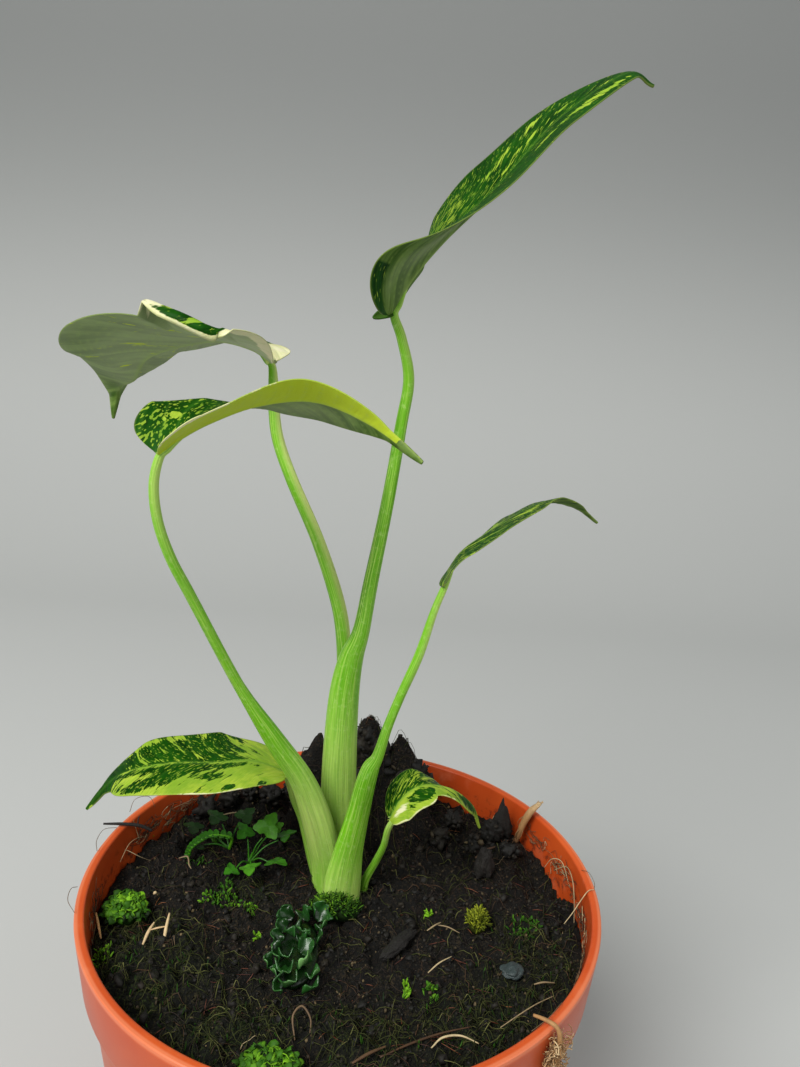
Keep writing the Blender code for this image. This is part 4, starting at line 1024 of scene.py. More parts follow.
def crumbled_height(x, y):
    """The soil's height with its clods and crumbs."""
    z = soil_height(x, y)
    clod = noise.voronoi(ground_place(x, y, CLOD_RELIEF[0], 0.5))[0][0]
    crumb = noise.voronoi(ground_place(x, y, CRUMB_RELIEF[0], 4.2))[0][0]
    rough = noise.turbulence(ground_place(x, y, FINE_RELIEF[0], 7.7), 4, False)
    z += CLOD_RELIEF[1] * (0.35 - clod)
    z += CRUMB_RELIEF[1] * (0.35 - crumb)
    return z + FINE_RELIEF[1] * (rough - 0.4)


def on_soil(x, y, above):
    """A place at a height above the crumbled soil."""
    return np.array((x, y, crumbled_height(x, y) + above))


def mossiness(x, y):
    """How mossy the soil is at a place, 0 to 1."""
    share = 0.0
    for at_x, at_y, radius in MOSSY_GROUND:
        share = max(share, 1.25 - math.hypot(x - at_x, y - at_y) / radius)
    share *= 0.75 + 0.9 * noise.noise(ground_place(x, y, 4.5, 1.7))
    return min(1.0, max(0.0, share))


def make_soil(material):
    """The soil: a square grid drawn out to a disc, and a skirt from its border down to the pot's floor."""
    line = np.linspace(-1, 1, SOIL_GRID)
    a, b = np.meshgrid(line, line, indexing="ij")
    wide = np.abs(a) > np.abs(b)
    with np.errstate(divide="ignore", invalid="ignore"):
        turn = np.where(wide, np.pi / 4 * b / a, np.pi / 2 - np.pi / 4 * a / b)
    turn = np.nan_to_num(turn).ravel()
    reach = np.where(wide, a, b).ravel()
    edge = inner_radius(SOIL_LEVEL) - 0.8
    x = edge * reach * np.cos(turn)
    y = edge * reach * np.sin(turn)
    z = np.array([crumbled_height(float(p), float(q)) for p, q in zip(x, y)])
    quads, border = grid_of(SOIL_GRID, SOIL_GRID)
    z[border] = np.minimum(z[border], SOIL_EDGE_HEIGHT)
    reach_out = np.array([inner_radius(float(h)) - SOIL_EDGE_GAP for h in z[border]])
    bearing = np.arctan2(y[border], x[border])
    x[border] = reach_out * np.cos(bearing)
    y[border] = reach_out * np.sin(bearing)
    mossy = np.array([mossiness(float(p), float(q)) for p, q in zip(x, y)])
    faces = [tuple(face) for face in quads]
    rows = [np.stack([x, y, z], -1)]
    levels = (-COLLAR_HEIGHT - 1, -POT_HEIGHT + FLOOR + SOIL_FOOT_GAP)
    start = border
    for number, level in enumerate(levels):
        rows.append(level_ring(inner_radius(level) - BURIED_GAP, bearing, level))
        ring = SOIL_GRID**2 + number * len(border) + np.arange(len(border))
        faces += [tuple(face) for face in np.stack([start, np.roll(start, -1), np.roll(ring, -1), ring], -1)]
        start = ring
    faces.append(tuple(start[::-1]))
    values = {"tone": np.concatenate([mossy, np.zeros(len(levels) * len(border))])}
    soil = make_piece("soil_bed", np.vstack(rows), faces, material, ("soil",), values)
    fix = bmesh.new()
    fix.from_mesh(soil.data)
    bmesh.ops.recalc_face_normals(fix, faces=fix.faces)
    fix.to_mesh(soil.data)
    fix.free()


def ball(level):
    """Points and faces of a ball of radius 1."""
    made = bmesh.new()
    bmesh.ops.create_icosphere(made, subdivisions=level, radius=1)
    points = [vertex.co.copy() for vertex in made.verts]
    faces = [tuple(v.index for v in face.verts) for face in made.faces]
    made.free()
    return points, faces


def lump_shapes(level):
    """Rough lumps to scatter as crumbs: points and faces at unit size."""
    shapes = []
    for seed in range(LUMP_KINDS):
        points, faces = ball(level)
        away = Vector((seed * 3.1, 0, 0))
        rough = [point * (1 + 0.8 * noise.noise(point * 1.9 + away)) for point in points]
        shapes.append((np.array(rough), faces))
    return shapes


def turned(rng):
    """A random turn."""
    spin = rng.normal(size=4)
    w, x, y, z = spin / np.linalg.norm(spin)
    return np.array(((1 - 2 * (y * y + z * z), 2 * (x * y - z * w), 2 * (x * z + y * w)),
                     (2 * (x * y + z * w), 1 - 2 * (x * x + z * z), 2 * (y * z - x * w)),
                     (2 * (x * z - y * w), 2 * (y * z + x * w), 1 - 2 * (x * x + y * y))))


def on_disc(rng, radius):
    reach = radius * math.sqrt(rng.uniform())
    angle = rng.uniform(0, 2 * math.pi)
    return reach * math.cos(angle), reach * math.sin(angle)


def make_crumbs(material):
    rng = np.random.default_rng(21)
    small = lump_shapes(1)
    large = lump_shapes(2)
    crumbs = Heap()
    for k in range(CRUMBS):
        x, y = on_disc(rng, 55.6)
        big = k % 9 == 0
        size = rng.uniform(0.5, 1.05) if big else rng.uniform(0.18, 0.5)
        if math.hypot(x, y) + size > SOIL_REACH:
            continue
        points, faces = (large if big else small)[int(rng.integers(LUMP_KINDS))]
        shape = (points * rng.uniform(0.45, 1.25, 3) * size) @ turned(rng)
        z = crumbled_height(x, y) + 0.15 * size
        crumbs.put((shape + (x, y, z), faces), min(1, rng.beta(1.2, 4.0) * (0.8 if big else 1.5)))
    crumbs.make("soil_crumbs", material)


def make_clods(material):
    """The broken chunks of root ball behind the stems."""
    rng = np.random.default_rng(8)
    large = lump_shapes(3)
    ragged = lump_shapes(1)
    clods = Heap()
    # Lumps: x, y, height, size
    places = (
        (-15.5, 33, 6, 3.0), (-12, 33.5, 8.2, 2.4), (-10, 34, 5.5, 3.0), (-16, 32, 2.5, 3.0),
        (-13.4, 34, 9.6, 1.5), (0, 33, 14, 3.6), (4.5, 33, 16, 3.0), (3, 32, 19.5, 2.4), (6, 33, 12, 3.4),
        (1.2, 31, 16.5, 2.6), (10, 33, 10, 3.2), (13.5, 34, 11, 2.4), (17, 33, 9.5, 2.6),
        (19, 33, 5.5, 2.8), (12, 31, 6, 3.4), (-4, 31, 9, 3.4), (-7, 32, 5, 3.2), (2, 30, 9, 3.5),
        (-36, 38, -5.5, 2.8), (-41, 32, -5.5, 2.6), (-30, 40.5, -5, 2.6), (-24, 39, -4.5, 2.8),
        (-19, 40, -4.2, 2.4), (38, 27, -4, 2.6), (33, 22, -5.5, 2.2), (43, 22, -6, 2.2),
        (28, 33, -5.5, 2.4), (24, 26, -6.5, 2.6),
    )
    for x, y, z, size in places:
        points, faces = large[int(rng.integers(LUMP_KINDS))]
        rough = np.array([1 + 0.35 * noise.turbulence(Vector(p * 2.2 + (x, y, z)), 3, False) for p in points])
        shape = (points * rough[:, None] * rng.uniform(0.75, 1.15, 3) * size) @ turned(rng)
        clods.put((shape + (x, y, z), faces), rng.uniform(0, 0.35))
        for _ in range(CRUMBS_ON_CLOD):
            away = unit(rng.normal(size=3)) * size * rng.uniform(0.85, 1.1)
            points, faces = ragged[int(rng.integers(LUMP_KINDS))]
            crumb = (points * rng.uniform(0.4, 1.3, 3) * rng.uniform(0.35, 0.95)) @ turned(rng)
            clods.put((crumb + (x, y, z) + away, faces), float(rng.beta(1.2, 3.0)))
    clods.make("soil_clods", material)


def bent_thread(rng, x, y, length, lift, steps=7):
    """A short curved thread that lies on the soil."""
    bearing = rng.uniform(0, 2 * math.pi)
    path = []
    for k in range(steps):
        raised = lift * math.sin(math.pi * k / (steps - 1)) * rng.uniform(0.6, 1.2)
        path.append(on_soil(x, y, 0.15) + (0, 0, raised))
        bearing += rng.normal(0, 0.35)
        x += length / steps * math.cos(bearing)
        y += length / steps * math.sin(bearing)
        reach = math.hypot(x, y)
        if reach > SOIL_REACH:
            bearing += math.pi / 2
            x, y = x * 55.5 / reach, y * 55.5 / reach
    return np.array(path)


def make_fibres(root_material, needle_material):
    """Roots strewn over the soil and along the wall, larger ones at their places, and dry needles."""
    rng = np.random.default_rng(31)
    roots = Heap()
    for _ in range(LOOSE_ROOTS):
        x, y = on_disc(rng, 54.5)
        path = bent_thread(rng, x, y, rng.uniform(2.5, 10), rng.uniform(0.1, 1.2))
        roots.put(tube(path, rng.uniform(0.04, 0.09), 3), float(rng.beta(1.1, 4.5)))
    # Larger roots: path, radius, tone
    named = (
        (((-5.7, -41.6, -7), (-6.6, -38.6, -4.6), (-5.1, -36.8, -3.8), (-3.2, -38.4, -5), (-3, -40.2, -7)),
         0.35, 0.6),
        (((20.3, -40.8, -7.6), (22.5, -39.4, -6.4), (26, -38.9, -6.2), (29.5, -39.6, -7)), 0.36, 0.95),
        (((10.6, -45.7, -5.4), (16, -42, -5.8), (22, -38.5, -6.4), (28.2, -35.8, -7)), 0.36, 0.35),
        (((5.6, -48.3, -4.4), (8.5, -46, -4.4), (11.6, -43.6, -5)), 0.5, 0.55),
        (((34.1, -35.5, -7), (38, -32.6, -6.6), (42, -29.5, -6.6), (46.2, -26.5, -7)), 0.22, 0.75),
        (((52.5, -4.3, -7), (54.5, -3.4, -4.4), (56.4, -2.4, -1.6), (57.9, -1.8, 0.4), (59.4, -1.3, 0.5)),
         0.2, 0.95),
        (((53.2, 14.4, -6), (55.4, 11, -2.4), (55.6, 5, -1.4), (55.3, 0.1, -3), (54.6, -5, -6)), 0.2, 0.8),
        (((51, 16, -6.5), (52.5, 14.5, -2.8), (54.6, 12.4, -2.2), (55.6, 8, -4.6)), 0.16, 0.9),
        (((33.2, 18, -6.4), (36, 19.6, -5), (38.7, 21.5, -5)), 0.6, 0.3),
        (((-42.5, 10.1, -6.6), (-40.4, 10.4, -6.2), (-39.4, 8.3, -7), (-38.6, 7.4, -7.4)), 0.34, 0.7),
        (((-35.1, 26.4, -4), (-31.5, 26.8, -3.4), (-27.7, 26.3, -4.2)), 0.3, 0.75),
        (((20.1, -9.1, -7.4), (22, -7.6, -7), (23.4, -6.3, -7.2)), 0.3, 0.75),
        (((22.6, -7, -7.4), (25, -8, -7), (27.6, -9.2, -7.4)), 0.26, 0.7),
        (((20.1, -21.9, -7.4), (22.5, -19.6, -6.8), (25.4, -16.9, -7.2)), 0.26, 0.9),
        (((42.5, -23.9, -6.8), (44.5, -23.4, -6.6), (47, -23.1, -6.8)), 0.32, 0.7),
        (((-55.3, 4.3, -4.6), (-54.4, 8, -2.2), (-53.6, 12, -3), (-52.7, 15.2, -4.6)), 0.12, 0.8),
        (((-55.8, 9, -4.6), (-54, 6.4, -2.8), (-51, 5.6, -3.6), (-48.6, 7.4, -6)), 0.12, 0.75),
        (((-54.3, 15.6, -6), (-54.8, 15, -3), (-55.4, 14.4, 0.4)), 0.12, 0.85),
    )
    # Roots that lie along the inner wall: bearing in degrees, spread, how many
    for bearing, spread, count in ((8, 26, 48), (-22, 12, 20), (152, 14, 46), (205, 20, 18)):
        for _ in range(count):
            angle = math.radians(bearing + rng.uniform(-spread, spread))
            z = rng.uniform(-7.6, -5.0)
            path = []
            for _ in range(6):
                reach = min(inner_radius(z) - 0.35, 57.2) - rng.uniform(0, 0.5)
                path.append((reach * math.cos(angle), reach * math.sin(angle), z))
                angle += rng.normal(0, 0.028)
                z = min(-0.8, z + rng.normal(0.35, 0.8))
            roots.put(tube(path, rng.uniform(0.05, 0.1), 3, 14), float(rng.beta(2.0, 2.0)))
    for path, radius, tone in named:
        roots.put(tube(path, (0.4 * radius, 0.62 * radius, 0.55 * radius, 0.3 * radius), 6, 24), tone)
    roots.make("soil_roots", root_material)
    needles = Heap()
    marked = ((-32.9, 21.9), (-20.9, 19.2), (-0.5, -22.3), (2.3, -8.2), (-18, 18), (7, -24), (30, -12),
              (-44, 12))
    for k in range(NEEDLES):
        x, y = marked[k] if k < len(marked) else on_disc(rng, 53)
        bearing = rng.uniform(0, 2 * math.pi) if k >= len(marked) else rng.uniform(-0.4, 0.9)
        length = rng.uniform(1.6, 4.5)
        near = on_soil(x, y, 0.25)
        away = near + (length * math.cos(bearing), length * math.sin(bearing), 0)
        away[2] = crumbled_height(away[0], away[1]) + rng.uniform(0.1, 0.9)
        middle = (near + away) / 2 + rng.normal(0, 0.12, 3)
        needles.put(tube((near, middle, away), (0.05, 0.09, 0.04), 4, 5), float(rng.beta(1.2, 2.0)))
    needles.make("soil_needles", needle_material)


def make_fuzz(material):
    """Dark olive threads that stand and lie all over the mossy ground, and some over the rest of the soil."""
    rng = np.random.default_rng(52)
    fuzz = Heap()
    for _ in range(FUZZ_THREADS):
        x, y = on_disc(rng, 55)
        if rng.uniform() > 0.12 + mossiness(x, y):
            continue
        path = bent_thread(rng, x, y, rng.uniform(2, 8), rng.uniform(0.4, 2.2), 6)
        fuzz.put(tube(path, rng.uniform(0.05, 0.1), 3), float(rng.beta(1.6, 2.6)))
    fuzz.make("olive_fuzz", material)


# Leaves

def blade_axes(leaf, u):
    """Middle, heading, level side and upward directions of a blade's midrib."""
    centre = smooth(leaf["midrib"], u)
    tangent = direction(leaf["midrib"], u)
    base_side, tip_side = (np.array(side, float) for side in leaf.get("side", STRAIGHT_SIDE))
    side = base_side * (1 - u)[:, None] + tip_side * u[:, None]
    side = unit(side - (tangent * side).sum(1, keepdims=True) * tangent)
    return centre, tangent, side, np.cross(tangent, side) * leaf["facing"]


def petiole_path(leaf):
    """The petiole's points, and the rib that it runs on as under the blade."""
    centre, _, _, up = blade_axes(leaf, RIB_PLACES * leaf["midrib_share"])
    listed = np.array(leaf["petiole"], float)
    return np.vstack([listed, centre - up * (RIB_SHARES * leaf["width"][-1] - 0.05)[:, None]])


def petiole_frames(leaf, t):
    path = petiole_path(leaf)
    centre = smooth(path, t)
    tangent = direction(path, t)
    towards = np.array(leaf["open_towards"], float)
    towards = unit(towards - (tangent @ towards)[:, None] * tangent)
    across = np.cross(tangent, towards)
    return centre, towards, across


def section(half_width, half_depth, opening):
    """A petiole's section, across and towards the stem: a ring, or a channel where it sheathes the stem."""
    gap = math.radians(SHEATH_GAP)
    outer = np.linspace(gap, 2 * math.pi - gap, OUTER_POINTS)
    ring = np.stack([half_width * np.sin(outer), half_depth * np.cos(outer)], -1)
    share = np.linspace(-1, 1, INNER_POINTS + 2)[1:-1]
    inner_width = max(half_width - SHEATH_WALL, 0.3 * half_width)
    inner_depth = max(half_depth - SHEATH_WALL, 0.3 * half_depth)
    cap = np.stack([half_width * np.sin(gap * share), half_depth * np.cos(gap * share)], -1)
    turn = math.pi - (math.pi - gap) * share
    wall = np.stack([inner_width * np.sin(turn), inner_depth * np.cos(turn) + 0.1 * half_depth], -1)
    return np.vstack([ring, (1 - opening) * cap + opening * wall])


def make_petiole(name, leaf, seed, material):
    t = np.linspace(0, 1, PETIOLE_STATIONS)
    centre, towards, across = petiole_frames(leaf, t)
    rib = len(RIB_SHARES) - 1
    widths = smooth((*leaf["width"][:-1], *(RIB_SHARES * leaf["width"][-1])), t)
    flats = smooth(leaf["flatness"] + (1,) * rib, t)
    opens = np.clip(smooth(leaf["opening"] + (0,) * rib, t), 0, 1)
    tones = smooth(PETIOLE_TONES[name] + PETIOLE_TONES[name][-1:] * (rib + 1), t)
    along = distance_along(centre)
    count = OUTER_POINTS + INNER_POINTS
    rows, places, shades = [], [], []
    for k in range(len(t)):
        ring = section(widths[k], widths[k] * flats[k], opens[k])
        rows.append(centre[k] + ring[:, :1] * across[k] + ring[:, 1:] * towards[k])
        around = np.arctan2(ring[:, 0], ring[:, 1])
        folded = np.abs(around) * 2.2
        folded += (around > 0) * 9
        places.append(np.stack([np.full(count, along[k]), folded, np.full(count, seed)], -1))
        inside = np.concatenate([np.zeros(OUTER_POINTS), np.full(INNER_POINTS, 0.2 * opens[k])])
        # Painted shade darkens the right side of each ring.
        shades.append(np.clip(tones[k] + inside - PAINTED_SIDE_SHADE[name] * np.sin(around) * (1 - opens[k]), 0, 1))
    values = {"stem_place": np.vstack(places), "tone": np.concatenate(shades)}
    faces = loft_faces(len(t), count)
    make_piece(f"stalk_{name}", np.vstack(rows), faces, material, (f"petiole_{name}",), values)


def blade_half_width(u):
    """Share of the full half-width: a rounded base, widest before the middle, and a drawn-out tip."""
    body = np.clip(np.sin(np.pi * np.clip(u / 0.9, 0, 1) ** 0.62), 0, None) ** 0.78
    drip = np.where(u > 0.5, 0.075 * np.clip((1 - u) / 0.1, 0, 1) ** 0.8, 0)
    return np.sqrt(body**2 + drip**2)


def half_width(leaf, number, u):
    """Half-width of a blade's near half (0) or far half (1), in millimetres."""
    stretch = leaf.get("slow_start", (0, 0))[number]
    start = np.clip(u / stretch, 0, 1) ** 0.6 if stretch else 1.0
    return leaf["half"][number] * blade_half_width(u) * start + TIP_HALF_WIDTH


def blade_surface(leaf, u, columns):
    """Points of the middle of a blade's sheet, station by station, from the near edge to the far one."""
    centre, tangent, side, up = blade_axes(leaf, u)
    share = blade_half_width(u)
    angle, roll_from, roll_to, start, bend, lift = leaf.get("roll", NO_ROLL)
    inside_roll = np.clip((u - roll_from) / (roll_to - roll_from), 0, 1)
    roll = math.radians(angle) * np.sin(np.pi * inside_roll) ** 0.5
    steps = np.linspace(0, 1, ROLL_STEPS + 1)
    turn = roll[:, None] * np.clip((steps - start) / bend, 0, 1)
    lifted = lift * inside_roll * (inside_roll < 1)
    outward = np.cumsum(np.cos(turn), axis=1) / ROLL_STEPS
    inward = np.cumsum(np.sin(turn), axis=1) / ROLL_STEPS
    height, cycles, phase = leaf["wave"]
    surface = np.zeros((len(u), len(columns), 3))
    for k, s in enumerate(columns):
        near = s < 0
        number = 0 if near else 1
        rise = np.radians(smooth(leaf["near" if near else "far"], u))
        half = half_width(leaf, number, u)
        sign = -1 if near else 1
        out = sign * side * np.cos(rise)[:, None] + up * np.sin(rise)[:, None]
        normal = -sign * side * np.sin(rise)[:, None] + up * np.cos(rise)[:, None]
        reach = abs(s)
        step = round(reach * ROLL_STEPS)
        away = outward[:, step] - 1 / ROLL_STEPS if near else np.full(len(u), reach)
        under = inward[:, step] if near else np.zeros(len(u))
        place = centre + (half * away)[:, None] * out - (half * under)[:, None] * normal
        place -= (leaf["lobes"][number] * share * reach**2 * np.exp(-((u / 0.13) ** 2)))[:, None] * tangent
        wave = height * share * reach**2 * np.sin(2 * np.pi * (cycles * u + 0.25 * sign) + phase)
        if near:
            wave += lifted * min(1, max(0, (reach - 0.4) / (start - 0.4))) ** 1.5
        surface[:, k] = place + wave[:, None] * normal
    return surface


def surface_normals(surface, facing):
    along = np.gradient(surface, axis=0)
    over = np.gradient(surface, axis=1)
    return unit(np.cross(along, over) * facing)


def soft_patches(patches, u, s):
    total = np.zeros(u.shape)
    for at_u, at_s, wide, deep, change in patches:
        total += change * np.exp(-(((u - at_u) / wide) ** 2 + ((s - at_s) / deep) ** 2))
    return total


def make_blade(name, leaf, seed, material):
    u = 0.5 * (1 - np.cos(np.pi * np.linspace(0, 1, BLADE_STATIONS)))
    even = np.linspace(-1, 1, BLADE_COLUMNS)
    columns = np.sin(0.5 * np.pi * even) * 0.35 + even * 0.65
    sheet = blade_surface(leaf, u, columns)
    normals = surface_normals(sheet, leaf["facing"])
    along = distance_along(smooth(leaf["midrib"], u))
    half = np.where(columns < 0, half_width(leaf, 0, u)[:, None], half_width(leaf, 1, u)[:, None])
    off_rib = np.abs(columns) * half
    marks = MARKINGS[name]
    vein = along[:, None] - marks["slant"] * off_rib * (1 - 0.25 * np.abs(columns))
    phase = np.abs((vein / VEIN_SPACING + 0.25 * (columns > 0)) % 1 - 0.5) * VEIN_SPACING
    calm = np.clip(off_rib / 1.5, 0, 1) * np.clip((1 - np.abs(columns)) * 5, 0, 1)
    quilt = -VEIN_DEPTH * np.exp(-((phase / 0.5) ** 2)) * calm
    fade = np.clip(1.15 - u, 0, 1)[:, None]
    groove = -GROOVE_DEPTH * np.exp(-((off_rib / 0.55) ** 2)) * fade
    rib = MIDRIB_RISE * np.exp(-((off_rib / 0.95) ** 2)) * fade
    thick = LAMINA * (1 - EDGE_THINNING * np.abs(columns) ** 3)
    upper = sheet + (thick / 2 + quilt + groove)[..., None] * normals
    lower = sheet - (thick / 2 - 0.7 * quilt + rib)[..., None] * normals
    rows, count = upper.shape[:2]
    points = np.vstack([upper.reshape(-1, 3), lower.reshape(-1, 3)])
    grid_u = np.repeat(u[:, None], count, 1)
    grid_s = np.repeat(columns[None, :], rows, 0)

    def marked(base, patches):
        far, near = marks[base]
        return np.where(grid_s > 0, far, near) + soft_patches(marks[patches], grid_u, grid_s)

    rib_line = np.exp(-((off_rib / 0.5) ** 2)) * fade
    vein_line = 0.35 * np.exp(-((phase / 0.22) ** 2)) * calm
    # Where the painted highlight lies along the blade's margin.
    margin_highlight = np.clip((np.abs(columns)[None, :] - 1) * half / 0.35 + 1, 0, 1)
    vein_place = np.stack([vein, off_rib, seed * 7.3 + 3.7 * (grid_s > 0)], -1).reshape(-1, 3)
    level = np.stack([marked("yellow", "patches"), marked("cream", "pale"), marked("flecks", "flecked")],
                     -1).reshape(-1, 3)
    # Pale cast of the underside, partly a painted sheen.
    bloom_and_sheen = np.clip(marks["bloom_and_sheen"] + soft_patches(marks["bloom_and_sheen_patches"], grid_u, grid_s), 0, 1)
    line = np.stack([np.maximum(rib_line, vein_line), margin_highlight, bloom_and_sheen], -1).reshape(-1, 3)
    upper_toned_edge = (name == "tall") & (grid_u < UPPER_TONED_EDGE[0]) & (grid_s < UPPER_TONED_EDGE[1])
    values = {
        "vein_place": np.vstack([vein_place, vein_place]),
        "leaf_level": np.vstack([level, level]),
        "leaf_line": np.vstack([line, line]),
        "underside": np.concatenate([np.zeros(rows * count), 1.0 - upper_toned_edge.ravel()]),
    }
    faces = sheet_faces(rows, count, leaf["facing"] < 0)
    if name == "tall":
        foot, heading, length, width = BASE_FLAP
        flap, flap_faces = lobe(foot, heading, (0.1, -0.9, 0.4), length, width, **FLAP_FORM)
        faces = np.vstack([faces, flap_faces + len(points)])
        points = np.vstack([points, flap])
        plain = {"vein_place": (0, 0, seed), "leaf_level": (-0.3, -0.6, -0.3), "leaf_line": (0, 0, 0)}
        for label, numbers in plain.items():
            values[label] = np.vstack([values[label], np.tile(numbers, (len(flap), 1))])
        values["underside"] = np.append(values["underside"], np.full(len(flap), 0.4))
    make_piece(f"leaf_{name}", points, faces, material, (f"blade_{name}",), values)


# Small growth

def pad(name):
    """Middle of a level place on the soil."""
    x, y, _, level = SOIL_PADS[name]
    return np.array((x, y, level + 0.3), float)


def lobe(foot, heading, up, length, width, cup, curl, thick, rows, columns, ruffle=0.0, turn=0.0, point=1.0):
    """One small closed leaf, rounded or pointed, cupped across and curling up along its length."""
    heading = unit(heading)
    across = unit(np.cross(heading, np.asarray(up, float)))
    up = np.cross(across, heading)
    t = np.linspace(0.0, 1.0, rows)[:, None]
    s = np.linspace(-1, 1, columns)[None, :]
    outline = 0.08 + 0.92 * np.sin(np.pi * np.clip(0.08 + 0.9 * t, 0, 1) ** point) ** 0.7
    bend = curl * t
    forward = length * np.sin(bend) / max(curl, 1e-3) if curl > 0.01 else length * t
    lift = length * (1 - np.cos(bend)) / max(curl, 1e-3) if curl > 0.01 else 0 * t
    half = 0.5 * width * outline
    rise = cup * half * s**2 + ruffle * half * np.abs(s) ** 2 * np.sin(7 * t + 2.2 * s + turn)
    surface = (np.asarray(foot, float) + (forward + 0 * s)[..., None] * heading
               + (lift + rise * np.cos(bend))[..., None] * up + (half * s)[..., None] * across)
    normals = surface_normals(surface, 1)
    half_thick = thick / 2 * normals
    points = np.vstack([(surface + half_thick).reshape(-1, 3), (surface - half_thick).reshape(-1, 3)])
    return points, sheet_faces(rows, columns)


def dome(middle, radii, height, seed, share=1.0):
    """A rough closed dome for the heart of a moss cushion."""
    rings, count = 8, 28
    rows = []
    for ring in range(rings + 1):
        reach = 1 - max(ring - 1, 0) / rings
        for k in range(count):
            angle = 2 * math.pi * k / count
            x = radii[0] * share * reach * math.cos(angle)
            y = radii[1] * share * reach * math.sin(angle)
            knobs = 0.85 + 0.5 * noise.noise(ground_place(x, y, 1.3, seed))
            top = math.sqrt(1 - (0.97 * reach) ** 2)
            lift = 0.2 + share * height * top * knobs if ring else -0.6
            rows.append((middle[0] + x, middle[1] + y, middle[2] + lift))
    return np.array(rows), loft_faces(rings + 1, count)


def make_moss(name, radii, height, shoots, seed, material, needle):
    """A cushion of curly lobes, or of needle-like shoots."""
    rng = np.random.default_rng(seed)
    middle = pad(name)
    heap = Heap()
    heap.put(dome(middle, radii, height, height, 0.86), 0.15)
    for _ in range(shoots):
        x, y = on_disc(rng, 1.0)
        rim = math.hypot(x, y)
        top = math.sqrt(max(0.0, 1 - (0.97 * rim) ** 2))
        knobs = 0.85 + 0.5 * noise.noise(ground_place(x * radii[0], y * radii[1], 1.3, height))
        foot = middle + (x * radii[0] * 0.92, y * radii[1] * 0.92, 0.2 + 0.86 * height * top * knobs)
        outward = unit((x / radii[0], y / radii[1], 0.25 + top * 0.25) + rng.normal(0, 0.12, 3))
        side = rng.normal(size=3)
        heading = unit(outward + 0.45 * unit(side))
        tone = float(np.clip(0.2 + 0.5 * top + rng.normal(0, 0.22), 0, 1))
        if needle:
            shape = lobe(foot, heading, side, rng.uniform(0.9, 2.0), rng.uniform(0.25, 0.45), **NEEDLE_SHOOT)
        else:
            length, width, turn = rng.uniform(1.2, 2.3), rng.uniform(1.1, 2.1), rng.uniform(0, 6)
            shape = lobe(foot, heading, side, length, width, turn=turn, **CURLY_SHOOT)
        heap.put(shape, tone)
    heap.make(f"cushion_{name}", material, (name,))


def make_moss_tufts(material):
    """Loose shoots of moss over the mossy ground and beside the stems."""
    rng = np.random.default_rng(77)
    heap = Heap()
    # x, y, radius, how many shoots, tone
    tufts = (
        (-50, -24.1, 2.6, 60, 0.75), (-31.4, 0, 2.6, 46, 0.6), (-27, -1, 2.2, 40, 0.6),
        (-21.8, -3.3, 1.8, 30, 0.7), (-28.7, 4, 2.4, 36, 0.35), (20.5, -0.9, 1.1, 14, 0.95),
        (15.6, -24, 1.0, 12, 0.95), (15.4, -27, 0.8, 8, 0.9), (20.9, -26, 2.0, 30, 0.55),
        (-18.4, -12.1, 1.0, 10, 0.9), (43.4, -4.3, 3.6, 60, 0.35), (-53.9, 22.9, 1.4, 16, 0.85),
        (-38, 12, 2.4, 30, 0.3), (-35, 25, 2.6, 36, 0.3),
    )
    for x, y, radius, count, tone in tufts:
        for _ in range(count):
            a, b = on_disc(rng, radius)
            foot = on_soil(x + a, y + b, -0.1)
            heading = unit((rng.normal(0, 0.5), rng.normal(0, 0.5), 1.0))
            side, length, width = rng.normal(size=3), rng.uniform(0.9, 1.9), rng.uniform(0.35, 0.9)
            shape = lobe(foot, heading, side, length, width, **TUFT_SHOOT)
            heap.put(shape, float(np.clip(tone + rng.normal(0, 0.15), 0, 1)))
    for _ in range(LOOSE_SHOOTS):
        x, y = on_disc(rng, 55)
        share = mossiness(x, y)
        if rng.uniform() > share:
            continue
        bearing = rng.uniform(0, 2 * math.pi)
        length = rng.uniform(0.9, 2.2)
        foot = on_soil(x, y, -0.1)
        heading = unit((math.cos(bearing) * 0.8, math.sin(bearing) * 0.8, rng.uniform(0.35, 1.0)))
        if math.hypot(x + heading[0] * length, y + heading[1] * length) > SOIL_REACH:
            continue
        tone = float(np.clip(rng.normal(0.14, 0.1), 0, 0.6))
        heap.put(lobe(foot, heading, (0, 0, 1), length, rng.uniform(0.18, 0.4), **CREEPING_SHOOT), tone)
    heap.make("moss_tufts", material)


